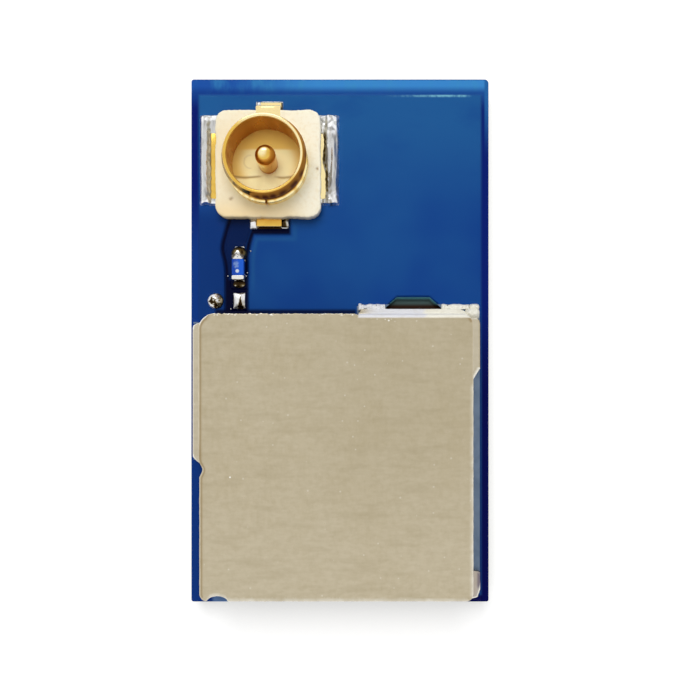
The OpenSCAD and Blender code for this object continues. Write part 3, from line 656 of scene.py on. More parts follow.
round_line = times(window(east_mm, LINE_EAST, 0.06), window(north_mm, LINE_NORTH, 0.1))
bare_colour = tint(round_line, bare_colour, LINE_NAVY)
print("coating over the pour and the gaps mixed")

# %% Painted reflections on the north strip and along the pour, and painted shade by the can
NORTH_REFLECTED_BLUE = (0.0420, 0.2350, 0.590)
NORTH_REFLECTED_WEST = (0.0125, 0.0800, 0.360)
NORTH_REFLECTED_DEEP = (0.0060, 0.0420, 0.235)
NORTH_REFLECTED_TEAL = (0.0450, 0.2700, 0.520)
REFLECTED_STREAK = (0.190, 0.500, 0.620)
VEIL_BLUE = (0.150, 0.270, 0.550)
CORNER_BLUE = (0.0180, 0.1200, 0.360)
EDGE_SHADOW_EAST, EDGE_SHADOW_NORTH = (-3.1, 0.4), (0.4, 0.77)
REFLECTED_STREAK_NORTH = (6.05, 6.10)
UNDER_ARCH_EAST = (-3.16, -2.64)

# Painted reflection: the strip along the north edge is painted sky blue and teal for the north light it
# reflects, deeper blue towards the pour
mottle = ramp(noise(coat_shader, 0.30, 3.0, (1, 0.4, 1)), 0.40, 0.75, 0.0, 0.55)
north_reflection = tint(ramp(east_mm, -3.0, -0.4), NORTH_REFLECTED_WEST, NORTH_REFLECTED_BLUE)
north_reflection = tint(mottle, north_reflection, NORTH_REFLECTED_TEAL)
north_reflection = tint(ramp(north_mm, 6.36, 6.14, 0.0, 0.85), north_reflection, NORTH_REFLECTED_DEEP)
bare_colour = tint(ramp(north_mm, 5.7, 6.20), bare_colour, north_reflection)
blue = tint(copper_value, bare_colour, pour_colour)
# Painted shadow: a navy black band on the board just north of the can's plain north edge
can_edge_shadow = times(window(north_mm, EDGE_SHADOW_NORTH, 0.05), window(east_mm, EDGE_SHADOW_EAST, 0.05))
blue = tint(times(can_edge_shadow, 0.9), blue, LINE_NAVY)
# Painted reflection: a dashed pale streak along the pour's north edge, where its step reflects the light
dashes = ramp(noise(coat_shader, 0.07, 1.0, (1, 0.5, 1)), 0.35, 0.60, 0.3, 0.9)
along = times(ramp(east_mm, 1.0, 2.7), ramp(east_mm, 3.30, 3.0))
reflected_streak = times(times(along, dashes), window(north_mm, REFLECTED_STREAK_NORTH, 0.025))
blue = tint(reflected_streak, blue, REFLECTED_STREAK)
corner = times(ramp(east_mm, 3.56, 3.63), ramp(north_mm, 4.4, 6.2))
blue = tint(corner, blue, CORNER_BLUE)
under_arch = times(window(east_mm, UNDER_ARCH_EAST, 0.06), ramp(north_mm, -6.27, -6.36))
blue = tint(under_arch, blue, VEIL_BLUE)
blue = tint(ramp(north_mm, 6.45, 6.49, 0.0, 0.6), blue, POUR_WEST)
print("strip along the north edge mixed in")

# %% Laminate in the slot and on the edges
LAMINATE_LIGHT = (0.20, 0.20, 0.12)
LAMINATE_DARK = (0.10, 0.095, 0.05)
SLOT_TEAL = (0.150, 0.470, 0.550)
SLOT_OLIVE = (0.075, 0.120, 0.115)
SLOT_SHADOW_BLACK = (0.030, 0.012, 0.006)
SLOT_EAST, SLOT_BAND = (SLOT_MID - 0.8, SLOT_MID + 0.8), (0.4, 1.2)

fibre = noise(coat_shader, 0.09, 3.0, (1, 1, 4))
laminate = tint(fibre, LAMINATE_DARK, LAMINATE_LIGHT)
# Painted light and shadow in the slot: its rim is teal, the coating's cut edge painted light, it turns
# olive deeper down, and its south end under the can's foot is painted black as shadow
slot_colour = tint(ramp(up_mm, SLAB_TOP - 0.05, SLAB_TOP - 0.23), SLOT_TEAL, SLOT_OLIVE)
slot_colour = tint(ramp(north_mm, 0.96, 0.85), slot_colour, SLOT_SHADOW_BLACK)
in_slot = times(window(east_mm, SLOT_EAST, 0.02), window(north_mm, SLOT_BAND, 0.02))
laminate = tint(in_slot, laminate, slot_colour)
coat_share = ramp(up_mm, SLAB_TOP - 0.07, SLAB_TOP - 0.02)
feed(coat_shader, Base_Color=tint(coat_share, laminate, blue))
peel = noise(coat_shader, 0.16, 2.0)
feed(coat_shader, Normal=relief(peel, 0.0016))

make_piece("coated_board", "board", coat, [(board_top, False), (board_side, True)], caps=[board_side[-1]],
           paint={"copper": copper_tone.ravel(), "line": line_share.ravel(), "edge": edge_highlight.ravel()})

# %% [markdown]
# ## Shield can
# The can is one stamped sheet of nickel silver: a flat lid whose sides are rolled over, run down to the
# board and, in places, turn out again into feet. A box with bevels would have the same roll everywhere, so
# the whole section (lid edge, roll, wall, foot, inner wall) is carried along the lid's edge instead, with
# the reach of the foot, the height of the wall's lower edge and the radius of the roll given along it.

# %% Plan of the lid and its edge
SHEET = 0.12
ROLL = 0.12
WEST_REACH, EAST_REACH, NORTH_REACH, SOUTH_OVER = 0.32, 0.33, 0.15, 0.26
FOLD_X = 0.42
LID_CORNERS = (0.08, 0.06, 0.14, 0.26)
WEST_NOTCH_Y, NOTCH, NOTCH_NORTH, NOTCH_SOUTH, WEST_SET = -3.02, 0.097, 0.14, 0.165, 0.025
ARCH_X, ARCH_HALF, ARCH_DEEP = -2.885, 0.25, 0.125
EAST_FOOT_END = -0.88
LID_GRID = 0.11

west, east = can_low[0] + WEST_REACH, can_high[0] - EAST_REACH
south, north = can_low[1] + SOUTH_OVER, can_high[1] - NORTH_REACH
lid_z, foot_z = can_high[2], can_low[2]
# Closer grid lines at the corners, the arch, the fold, the west relief and the end of the east foot
lid_xs = ruled(west + ROLL, east - ROLL, LID_GRID, (west + ROLL, ARCH_X - 0.28, 0.02),
               (ARCH_X - 0.27, ARCH_X + 0.27, 0.014), (ARCH_X + 0.28, FOLD_X - 0.05, 0.032),
               (FOLD_X - 0.04, FOLD_X + 0.16, 0.01), (east - 0.3, east - ROLL, 0.02))
lid_ys = ruled(south + ROLL, north - ROLL, LID_GRID, (south + ROLL, south + 0.56, 0.03),
               (WEST_NOTCH_Y - 0.36, WEST_NOTCH_Y + 0.26, 0.02),
               (EAST_FOOT_END - 0.24, EAST_FOOT_END + 0.22, 0.015), (north - 0.46, north - ROLL, 0.02))
lid_x, lid_y = plate(lid_xs, lid_ys, LID_CORNERS)
lid_loop = np.stack([rim(lid_x), rim(lid_y)], axis=1)
lid_normal = outward(lid_loop)
wall_x, wall_y = (lid_loop + lid_normal * ROLL).T
face_x, face_y = lid_normal.T
print("lid", round(east - west, 2), "by", round(north - south, 2), "mm, grid", lid_x.shape)

# %% Reliefs in the lid's edge, and the lid
FADE, CALM = 0.5, 0.4
LID_WAVE, LID_WAVE_LONG = 0.004, 2.2


def west_dent(y):
    """Depth of the relief at the end of the west foot: a bell curve, steeper on its north side. South of it
    the wall stands a little further in."""
    off = y - WEST_NOTCH_Y
    set_in = WEST_SET * ease((-0.05 - off) / 0.15)
    return np.maximum(NOTCH * np.exp(-((off / np.where(off > 0, NOTCH_NORTH, NOTCH_SOUTH)) ** 2)), set_in)


def south_arch(x):
    """Depth of the arch in the south edge: the upper half of an ellipse."""
    return ARCH_DEEP * np.sqrt(np.maximum(0, 1 - ((x - ARCH_X) / ARCH_HALF) ** 2))


def fade(distance):
    """Share of a notch that the lid still follows at this distance from its edge."""
    return ease(1 - distance / FADE)


lid_y = lid_y + south_arch(lid_x) * fade(lid_y - lid_ys[0])
lid_x = lid_x + west_dent(lid_y) * fade(lid_x - lid_xs[0])
calm = ease(np.minimum.reduce([lid_x - lid_xs[0], lid_xs[-1] - lid_x,
                               lid_y - lid_ys[0], lid_ys[-1] - lid_y]) / CALM)
wave = LID_WAVE * calm * (1 - ripple(lid_x, lid_y, LID_WAVE_LONG, 11))
lid_top = np.stack([lid_x, lid_y, lid_z - wave], axis=-1)
lid_under = np.stack([lid_x, lid_y, np.full_like(lid_x, lid_z - SHEET)], axis=-1)
lid_edge = rim(lid_top)
print("lid waves by", round(1000 * np.ptp(lid_top[..., 2]), 1), "thousandths of a mm")

# %% How far the feet reach along the edge
# Reach of the foot against the turn round the north-west and south-east corners, in degrees
NW_ANGLES, NW_REACH = (0, 10, 19, 30, 90), (0.32, 0.316, 0.21, 0.06, 0.0)
SE_ANGLES = (0, 23, 33, 47, 52, 68, 90)
SE_REACH = (0.33, 0.375, 0.411, 0.423, 0.382, 0.295, 0.26)
# Reach against the way north at the cut ends of the west and east feet
WEST_END_Y, WEST_END_REACH = (-3.10, -3.037, -2.987, -2.881, -2.83), (0, 0.134, 0.216, 0.31, 0.32)
EAST_END_Y, EAST_END_REACH = (-1.08, -1.02, -0.74, -0.70), (0, 0.13, 0.30, 0.33)
SE_NORTH, SE_WEST, FOLD_LONG = 0.49, 0.3, 0.12

on_west = (face_x < -0.02) & (face_y > -0.3)
on_east = face_x > 0.05
on_south = (face_y < -0.9) & ~on_east
on_north_right = (face_y > 0.3) & (wall_x > FOLD_X)
swing = np.degrees(np.arctan2(np.maximum(face_y, 0), -face_x))
south_swing = np.degrees(np.arctan2(np.maximum(-face_y, 0), face_x))
west_foot = np.minimum(np.interp(swing, NW_ANGLES, NW_REACH),
                       np.interp(wall_y, WEST_END_Y, WEST_END_REACH))
west_foot += np.where(west_foot > 0.001, west_dent(wall_y) * (face_x < -0.9), 0)
corner_foot = np.interp(south_swing, SE_ANGLES, SE_REACH) * ease((south + SE_NORTH - wall_y) / 0.05)
east_foot = np.maximum(np.interp(wall_y, EAST_END_Y, EAST_END_REACH), corner_foot)
south_foot = SOUTH_OVER * ease((wall_x - east + SE_WEST) / 0.2)
north_foot = NORTH_REACH * ease((wall_x - FOLD_X) / FOLD_LONG)
foot_reach = np.where(on_west, west_foot, 0)
foot_reach = np.where(on_east, east_foot, foot_reach)
foot_reach = np.where(on_south, south_foot, foot_reach)
foot_reach = np.where(on_north_right, np.maximum(north_foot, foot_reach * face_x**2), foot_reach)
print("feet along", int((foot_reach > 0.01).sum()), "of", len(lid_loop), "edge points")

# %% How far down the wall runs, and how sharp its roll is
GATE_HALF, GATE_HIGH = 0.5, 0.5
SHARP_ROLL, WEST_ROLL = 0.025, 0.09
BURR_NORTH, BURR, BURR_LONG = 0.009, 0.0035, 0.09

open_side = (west_dent(wall_y) > WEST_SET + 0.005) & (face_x < -0.9) & (foot_reach < 0.01)
open_side |= (south_arch(wall_x) > 0) & (face_y < -0.9)
wall_end = np.where(open_side, lid_z - ROLL - SHEET, foot_z)
in_gate = (face_y > 0.9) & (np.abs(wall_x - line_x) < GATE_HALF)
wall_end = np.where(in_gate, foot_z + GATE_HIGH, wall_end)
plain_north = ease((face_y - 0.75) / 0.2) * ease((FOLD_X - wall_x) / 0.05)
west_side = ease((-face_x - 0.3) / 0.4)
roll = ROLL + (SHARP_ROLL - ROLL) * plain_north
roll = roll + (WEST_ROLL - roll) * west_side
burr = ripple(wall_x, wall_y, BURR_LONG, 5) * (BURR_NORTH * plain_north + BURR)
burr *= ease((0.02 - foot_reach) / 0.02)
print("roll from", round(roll.min(), 3), "to", round(roll.max(), 3), "mm")

# %% [markdown]
# The section is now a list of points: across the roll, down the wall, round the fillet, out over the foot,
# round its rim and back up inside. Each has a distance out and a height for every point of the edge.

# %% Carry the section round the lid
FOOT_FILLET = 0.05
FOOT_ROUND = 0.02
FOOT_RIM, EAST_END_RIM = 0.045, 0.10
UNDER_ROLL = 0.03

turn = np.linspace(0, np.pi / 2, 8)[:, None]
fillet = np.minimum(FOOT_FILLET, foot_reach)
foot_top = wall_end + SHEET
roll_out = -roll + roll * np.sin(turn) + burr * np.sin(turn)
roll_up = lid_z - roll + roll * np.cos(turn)
east_end = on_east & (np.abs(wall_y - EAST_FOOT_END) < 0.22)
foot_rim = np.where(east_end, EAST_END_RIM, FOOT_RIM)
lower_out = [burr * 0.3, burr * 0, 0.3 * fillet, fillet, np.maximum(foot_reach - foot_rim, fillet),
             np.maximum(foot_reach - FOOT_ROUND, fillet), foot_reach, foot_reach,
             np.full_like(burr, -SHEET)]
lower_up = [np.maximum(lid_z - roll - UNDER_ROLL, foot_top + fillet), foot_top + fillet,
            foot_top + 0.3 * fillet, foot_top, foot_top, foot_top, foot_top - FOOT_ROUND, wall_end,
            wall_end]
inner_out = column(-SHEET, -ROLL)
inner_up = column(lid_z - ROLL - UNDER_ROLL, lid_z - SHEET)
section_out = np.concatenate([np.full((1, len(burr)), -ROLL), roll_out, np.stack(lower_out),
                              np.broadcast_to(inner_out, (2, len(burr)))]) + ROLL
section_up = np.concatenate([lid_edge[None, :, 2], roll_up, np.stack(lower_up),
                             np.broadcast_to(inner_up, (2, len(burr)))])
can_side = carry(lid_edge[:, :2], lid_normal, section_out, section_up)
print("section of", len(section_out), "points carried round")

# %% [markdown]
# On the real can the light makes the corners and rims bright and leaves the bends brown in shade. A texture
# could not follow them, so both are painted on the points as painted highlights and painted shade: a share
# along the edge times a column of values down the section.

# %% Painted highlights on rims and painted shade in bends
# Rows of the section: the roll, its lower half alone and with the wall, the wall, the fillet, foot and rim
on_roll, roll_low, roll_wall = slice(1, 9), slice(4, 9), slice(4, 10)
on_wall, on_fillet, on_foot, on_rim = slice(9, 13), slice(11, 14), slice(12, 16), slice(14, 16)
BRIGHT_EAST_END_Y, NEAR_NOTCH_Y = -0.95, (-2.2, -2.95)

# Painted highlights: the burred plain north edge, the east and south rolls, the feet, their rims and the
# north-west corner are painted bright
bright = np.zeros(section_up.shape)
bright[roll_low] = plain_north * np.clip(0.55 + 0.9 * ripple(wall_x, wall_y, 0.13, 6), 0, 1)
sheen = 0.75 + 0.4 * ripple(wall_x, wall_y, 0.3, 7) + 0.2 * ripple(wall_x, wall_y, 0.08, 8)
east_sheen = sheen * ease((face_x - 0.9) / 0.1) * ease((BRIGHT_EAST_END_Y - wall_y) / 0.2)
south_sheen = sheen * ease((-face_y - 0.9) / 0.1)
bright[on_roll] += east_sheen * column(0, 0.1, 0.25, 0.4, 0.45, 0.45, 0.4, 0.3)
bright[on_roll] += south_sheen * column(0.1, 0.2, 0.3, 0.35, 0.4, 0.4, 0.4, 0.4)
bright[on_foot] += 0.10 * on_west + 0.15 * (on_east & (wall_y > EAST_FOOT_END + 0.1))
southeast = on_east & (wall_y < south + 0.5)
white_rim = (on_west & ((swing > 3) | (wall_y < -2.8))) | east_end | (southeast & (south_swing > 12))
bright[on_rim] = np.where(foot_reach > 0.02, np.maximum(0.9 * white_rim, 0.35 * on_west), bright[on_rim])
west_corner = on_west * ease((swing - 12) / 12) * ease((89 - swing) / 8)
bright[roll_wall] = np.maximum(bright[roll_wall], west_corner * column(0.25, 0.7, 0.9, 0.9, 0.9, 0.9))

# Painted shade: the west and east bends, the north-west turn, the roll by the west notch and the south-east
# wall and fillet are painted brown
west_bend_shade = ease((-face_x - 0.1) / 0.3) * (face_y > -0.5)
west_turn = on_west * ease((swing - 6) / 20) * ease((84 - swing) / 20)
east_turn = ease((face_x - 0.2) / 0.2) * ease((face_y - 0.2) / 0.2)
near_notch = on_west * ease((NEAR_NOTCH_Y[0] - wall_y) / 0.4) * (wall_y > NEAR_NOTCH_Y[1])
brown = np.zeros(section_up.shape)
for along, down in ((west_bend_shade, column(0.2, 0.9, 0.6, 0.1, 0, 0, 0, 0)),
                    (west_turn, column(0.3, 0.8, 1, 1, 0.9, 0.7, 0.4, 0.1)),
                    (east_turn, column(0, 0.2, 0.8, 1, 0.8, 0.3, 0, 0)),
                    (near_notch, column(0.2, 0.7, 0.8, 0.7, 0.5, 0.2, 0, 0))):
    brown[on_roll] = np.maximum(brown[on_roll], along * down)
south_turn = on_east * ease((south_swing - 15) / 15) * ease((80 - south_swing) / 15)
brown[on_wall] = 0.8 * south_turn
brown[on_fillet] += 0.20 * (southeast & (south_swing < 20))
lid_plain = np.zeros(lid_top.size // 3)
print("bright points:", int((bright > 0.5).sum()), "and brown points:", int((brown > 0.5).sum()))

# %% [markdown]
# Nickel silver is a warm grey tan metal. Rolling leaves fine lines in it and handling leaves tiny bright
# nicks. The footed part of the north side was tinned by the solder, up its wall too: it is whiter, bluish
# in the west and creamy in the east, with a slanting border between them. Colours are laid over each
# other like glazes, each by its own share.

# %% Nickel silver sheet
SHEET_TAN = (0.514, 0.446, 0.310)
SHEET_WARM = (0.485, 0.412, 0.272)
SHEET_LIGHT = (0.585, 0.515, 0.378)
SHEET_SHADE = (0.385, 0.325, 0.205)

sheet, sheet_shader = new_finish("nickel_silver")
highlight_value, bend_shade_value = (painted(sheet_shader, name) for name in ("bright", "brown"))
cloud = noise(sheet_shader, 1.6, 3.0)
lines = noise(sheet_shader, 0.10, 2.0, (0.5, 1, 1))
weave = noise(sheet_shader, 0.10, 2.0, (1, 0.5, 1))
patches = noise(sheet_shader, 0.42, 2.0)
east_mm, north_mm, up_mm = (axis(sheet_shader, name) for name in "XYZ")
tan = tint(ramp(cloud, 0.25, 0.75), SHEET_TAN, SHEET_WARM)
# Painted light: the lid is painted lighter towards the south
tan = tint(ramp(north_mm, -1.0, -6.0, 0.0, 0.35), tan, SHEET_LIGHT)
tan = tint(ramp(patches, 0.3, 0.7, 0.0, 0.40), tan, SHEET_LIGHT)
tan = tint(ramp(lines, 0.25, 0.75, 0.0, 0.30), tan, SHEET_SHADE)
tan = tint(ramp(weave, 0.25, 0.75, 0.0, 0.30), tan, SHEET_LIGHT)
# Painted shade: the lid is painted darker in its north-east
upper_east_shade = times(ramp(east_mm, -2.0, 1.0), ramp(north_mm, -5.5, -2.0))
tan = tint(times(upper_east_shade, 0.22), tan, SHEET_SHADE)
streaks = noise(sheet_shader, 0.22, 2.0, (0.2, 1, 1))
tan = tint(ramp(streaks, 0.45, 0.75, 0.0, 0.28), tan, SHEET_SHADE)
print("grain of the sheet mixed")

# %% Nicks, dust and stains on the sheet
SHEET_BEND_SHADE = (0.30, 0.21, 0.095)
SHEET_SHADE_GREY = (0.44, 0.40, 0.375)
SHEET_REFLECTED_SLATE = (0.15, 0.13, 0.19)
FLECK_AND_GLINT_WHITE = (0.93, 0.91, 0.83)
NICK, NICK_SIZE = (-2.565, -3.19), 0.026
EDGE_FLECKS_NORTH = (0.585, 0.66)
ARCH_FLECKS_EAST = (-2.6, -1.5)
TIN_FLECKS_EAST, TIN_FLECKS_NORTH = (0.7, 1.8), (0.45, 0.50)
SLATE_EAST, SLATE_NORTH = (3.385, 3.50), (-6.1, -5.72)


def blot(shader, middle, half, soft=0.5):
    """A soft round spot: 1 in its middle, easing to 0 at `half` mm from it."""
    coords = add(shader, "ShaderNodeTexCoord").outputs["Object"]
    local = add(shader, "ShaderNodeMapping", Vector=coords,
                Scale=(1 / (half[0] * MM), 1 / (half[1] * MM), 0),
                Location=(-middle[0] / half[0], -middle[1] / half[1], 0)).outputs[0]
    ball = add(shader, "ShaderNodeTexGradient", {"gradient_type": "SPHERICAL"}, Vector=local)
    return ramp(ball.outputs["Fac"], 0, soft)


flecks = specks(sheet_shader, 0.085, 0.030, 0.55)
near_top = ramp(up_mm, lid_z - 0.12, lid_z - 0.05)
along_edge = times(window(north_mm, EDGE_FLECKS_NORTH, 0.02), near_top)
by_arch = times(ramp(north_mm, south + 0.11, south + 0.06), window(east_mm, ARCH_FLECKS_EAST, 0.2))
by_arch = times(by_arch, near_top)
by_tin = times(window(north_mm, TIN_FLECKS_NORTH, 0.02), window(east_mm, TIN_FLECKS_EAST, 0.2))
for where, strength in ((along_edge, 0.8), (by_tin, 0.8), (by_arch, 0.7)):
    tan = tint(times(times(flecks, where), strength), tan, FLECK_AND_GLINT_WHITE)
# Painted shade and reflection: the south-east foot is painted grey, and a slate band on its outer edge
# stands for the blue board that it reflects
southeast_foot_shade = times(ramp(east_mm, 3.17, 3.22), ramp(north_mm, -5.55, -5.65))
tan = tint(times(southeast_foot_shade, 0.8), tan, SHEET_SHADE_GREY)
slate_reflection = times(window(east_mm, SLATE_EAST, 0.03), window(north_mm, SLATE_NORTH, 0.06))
tan = tint(times(slate_reflection, 0.85), tan, SHEET_REFLECTED_SLATE)
dust = specks(sheet_shader, 0.27, 0.026, 0.75)
tan = tint(times(dust, 0.24), tan, FLECK_AND_GLINT_WHITE)
tan = tint(blot(sheet_shader, NICK, (NICK_SIZE, NICK_SIZE)), tan, FLECK_AND_GLINT_WHITE)
# Painted shade in the bends and painted highlights on the rims and rolls
tan = tint(times(bend_shade_value, 0.8), tan, SHEET_BEND_SHADE)
tan = tint(highlight_value, tan, FLECK_AND_GLINT_WHITE)
print("nicks and stains laid over it")

# %% Tin on the north side
TIN_BLUE = (0.740, 0.745, 0.780)
TIN_CREAM = (0.850, 0.830, 0.730)
TIN_DULL = (0.66, 0.64, 0.58)
TIN_SLANT, TIN_BORDER = -0.5, (1.66, 1.78)


def tin_colour(shader):
    """Bluish tin in the west and creamy tin in the east, with a slanting border between them."""
    slant = add(shader, "ShaderNodeMath", {"operation": "MULTIPLY_ADD"})
    for socket, value in zip(slant.inputs, (axis(shader, "Y"), TIN_SLANT, axis(shader, "X"))):
        plug(socket, value)
    return tint(ramp(slant.outputs[0], *TIN_BORDER), TIN_BLUE, TIN_CREAM)


tin = tint(ramp(lines, 0.4, 0.8, 0.0, 0.20), tin_colour(sheet_shader), SHEET_WARM)
on_tin_wall = times(ramp(up_mm, lid_z - 0.2, lid_z - 0.5), ramp(up_mm, foot_z + 0.15, foot_z + 0.3))
tin = tint(on_tin_wall, tin, TIN_DULL)
from_fold = ramp(up_mm, lid_z - 0.5, lid_z - 0.2, ramp(east_mm, FOLD_X, FOLD_X + 0.5),
                 ramp(east_mm, FOLD_X - 0.02, FOLD_X + 0.04))
tinned = times(ramp(north_mm, north - 0.14, north - 0.09), from_fold)
satin = ramp(lines, 0.2, 0.8, 0.27, 0.37)
feed(sheet_shader, Base_Color=tint(tinned, tan, tin), Metallic=ramp(tinned, 0, 1, 1.0, 0.2),
     Roughness=ramp(tinned, 0, 1, satin, 0.6), Normal=relief(weave, 0.0024, relief(lines, 0.0024)))

make_piece("folded_can", "shield_can", sheet,
           [(lid_top, False), (can_side, True), (lid_under, False)], sharp=50,
           paint={"bright": np.concatenate([lid_plain, bright.ravel(), lid_plain]),
                  "brown": np.concatenate([lid_plain, brown.ravel(), lid_plain])})

# %% [markdown]
# ## Socket housing
# The housing is a moulded cream block with rounded corners and a little ragged flash along its lower edges.
# The barrel stands in a round hole in it. A block with a boolean hole has poor faces round the hole, so the
# block's edge is carried inwards instead: each ring lies a share of the way from the outline to the hole.

# %% Outline and top of the housing
HOUSING_CORNER = 0.30
HOUSING_EDGE = 0.05
BARREL = 1.0
HOLE = BARREL - 0.03
FLASH, FLASH_LONG = 0.014, 0.5
FLASH_FINE, FLASH_FINE_LONG = 0.007, 0.09
FLASH_IN = 0.018
TOP_FALL, TOP_WAVE, TOP_WAVE_LONG = 0.006, 0.006, 0.5
PITS = ((1.20, -0.13), (-0.90, -0.86))
PIT_SIZE, PIT_DEEP = 0.035, 0.03

half_w, half_d = (housing_high - housing_low)[:2] / 2
housing_top = housing_high[2]
plan_x, plan_y = plate(np.linspace(-half_w, half_w, 61), np.linspace(-half_d, half_d, 61),
                       [HOUSING_CORNER] * 4)
block_loop = np.stack([rim(plan_x), rim(plan_y)], axis=1)
flash = (FLASH * ripple(*block_loop.T, FLASH_LONG, 21)
         + FLASH_FINE * ripple(*block_loop.T, FLASH_FINE_LONG, 22) - FLASH_IN)
angle = np.arctan2(block_loop[:, 1], block_loop[:, 0])
spoke = np.stack([np.cos(angle), np.sin(angle)], axis=1)

turn = np.linspace(0, np.pi / 2, 6)[:, None]
side_out = np.concatenate([column(-0.02, 0), -HOUSING_EDGE * (1 - np.cos(turn))]) + flash
side_up = np.concatenate([column(housing_low[2], housing_low[2] + 0.03),
                          housing_top - HOUSING_EDGE * (1 - np.sin(turn))])
block_side = carry(block_loop, outward(block_loop), side_out, side_up)
share = np.linspace(0, 1, 15)[:, None, None]
ring_x, ring_y = np.moveaxis(block_side[-1, None, :, :2] * (1 - share) + spoke * HOLE * share, -1, 0)
share = share[..., 0]
pit = sum(np.exp(-((np.hypot(ring_x - x, ring_y - y) / PIT_SIZE) ** 2)) for x, y in PITS)
uneven = TOP_WAVE * ripple(ring_x, ring_y, TOP_WAVE_LONG, 23) * np.sin(np.pi * share) ** 2
ring_z = housing_top - TOP_FALL * share + uneven - PIT_DEEP * pit
ring_z[0] = block_side[-1, :, 2]
block_top = np.stack([ring_x, ring_y, ring_z], axis=-1)
print("housing", round(2 * half_w, 2), "by", round(2 * half_d, 2), "mm")

# %% Floor inside the socket
FLOOR_Z = 1.10
FLOOR_STEP, STEP_Y, STEP_WANDER = 0.04, -0.30, 0.03
FLOOR_WAVE = 0.004
BORE = 0.86
HOOK, HOOK_RADIUS, HOOK_WIDE, HOOK_TONE = (-0.44, 0.06), 0.16, 0.016, 0.45

share = np.linspace(1, 0, 40)[:, None, None]
floor_x, floor_y = np.moveaxis(spoke * HOLE * share, -1, 0)
step_line = STEP_Y + STEP_WANDER * ripple(floor_x, floor_x * 0, 0.6, 24)
dip = ease((step_line - floor_y) / 0.03) * ease((np.abs(floor_x) - 0.12) / 0.2)
floor_z = FLOOR_Z - FLOOR_STEP * dip + FLOOR_WAVE * ripple(floor_x, floor_y, 0.3, 25)
block_floor = np.stack([floor_x, floor_y, floor_z], axis=-1)
block = np.concatenate([block_side, block_top, block_floor])
block[..., :2] += (socket_x, socket_y)

crease = np.exp(-(((floor_y - step_line) / 0.02) ** 2)) * ease((np.abs(floor_x) - 0.1) / 0.15)
hook = np.hypot(floor_x - HOOK[0], floor_y - HOOK[1]) - HOOK_RADIUS
crease += HOOK_TONE * np.exp(-((hook / HOOK_WIDE) ** 2)) * ease((HOOK[0] + 0.05 - floor_x) / 0.06)
# Painted light and shadow on the socket's floor: north of a line it is painted tan as the north wall's
# shadow, south of it cream, brightest in a painted pool of light south of the pin, and dimmer towards the
# wall
middle_share = ease((BORE - 0.02 - np.hypot(floor_x, floor_y)) / 0.35)
lit_south = ease((-0.05 - floor_y) / 0.3) * ease((0.6 - np.abs(floor_x)) / 0.4)
lit = np.maximum(0.25 + 0.75 * middle_share, ease((-0.2 - floor_y) / 0.2))
painted_floor_light = 0.5 + (0.3 * ease((0.42 - floor_y) / 0.1) + 0.2 * lit_south) * lit
side_plain, top_plain = np.zeros(block_side.size // 3), np.zeros(pit.size)
block_stain = np.concatenate([side_plain, pit.ravel(), 0.55 * crease.ravel()])
block_floor_light = np.concatenate([side_plain, top_plain, painted_floor_light.ravel()])
print("floor at", FLOOR_Z, "mm with a step of", FLOOR_STEP, "mm")

# %% Cream moulding
CREAM_LIGHT = (0.90, 0.81, 0.59)
CREAM_LIT = (0.97, 0.93, 0.77)
CREAM_SHADOW_TAN = (0.93, 0.69, 0.33)
CREAM_DEEP = (0.84, 0.71, 0.46)
CREAM_FLOOR_SHADOW = (0.86, 0.59, 0.13)
CREAM_FLOOR_LIT = (0.99, 0.93, 0.53)
CREAM_STAIN_AND_SHADE = (0.30, 0.17, 0.05)

cream, cream_shader = new_finish("cream_moulding", Roughness=0.42, Specular_IOR_Level=0.3)
stain_value, floor_light_value = (painted(cream_shader, name) for name in ("stain", "floor_light"))
cloud = noise(cream_shader, 0.55, 3.0)
shade = tint(ramp(cloud, 0.35, 0.8, 0.0, 0.7), CREAM_LIGHT, CREAM_DEEP)
east_mm, north_mm = (axis(cream_shader, name) for name in "XY")
# Painted light: the top is whiter to the east and to the north, where the light falls on it
shade = tint(ramp(east_mm, socket_x - 0.2, socket_x + 1.2, 0.0, 0.8), shade, CREAM_LIT)
shade = tint(ramp(north_mm, socket_y + 0.5, socket_y + 1.2, 0.0, 0.45), shade, CREAM_LIT)
# Painted shadow: the south of the top is tan, the barrel's shadow with the gold light that the barrel
# throws
south_shadow = times(ramp(north_mm, socket_y - 0.7, socket_y - 1.25),
                  ramp(east_mm, socket_x + 1.2, socket_x + 0.3))
shade = tint(times(south_shadow, 0.55), shade, CREAM_SHADOW_TAN)
fleck = ramp(noise(cream_shader, 0.10, 3.0), 0.45, 0.7, 0.0, 0.35)
shade = tint(fleck, shade, CREAM_DEEP)
shade = tint(ramp(floor_light_value, 0.0, 0.5), shade, CREAM_FLOOR_SHADOW)
shade = tint(ramp(floor_light_value, 0.5, 0.9), shade, CREAM_FLOOR_LIT)
shade = tint(stain_value, shade, CREAM_STAIN_AND_SHADE)
# Painted shade: the lower sides darken towards the board
lower = ramp(axis(cream_shader, "Z"), 1.02, 0.82, 0.0, 0.45)
shade = tint(times(lower, ramp(floor_light_value, 1, 0)), shade, CREAM_STAIN_AND_SHADE)
feed(cream_shader, Base_Color=shade, Normal=relief(noise(cream_shader, 0.06, 3.0), 0.003))

make_piece("cream_housing", "coax_housing", cream, [(block, True)], caps=[block[0]], sharp=45,
           paint={"stain": block_stain, "floor_light": block_floor_light})

# %% [markdown]
# ## Gold contacts
# The outer contact is a stamped and drawn part: a thin barrel with a rolled lip, a bead and a groove that
# the plug snaps over, two side legs and a strap to the north. Turned shapes are a profile carried round an
# axis. The legs, the strap and the tail are bent strips: a closed outline of the strip's side, carried
# straight across its width.

# %% Helpers for turned shapes and strips
CONTACT = 0.10
STRIP_EDGE = 0.015
board_top_z = board_high[2]


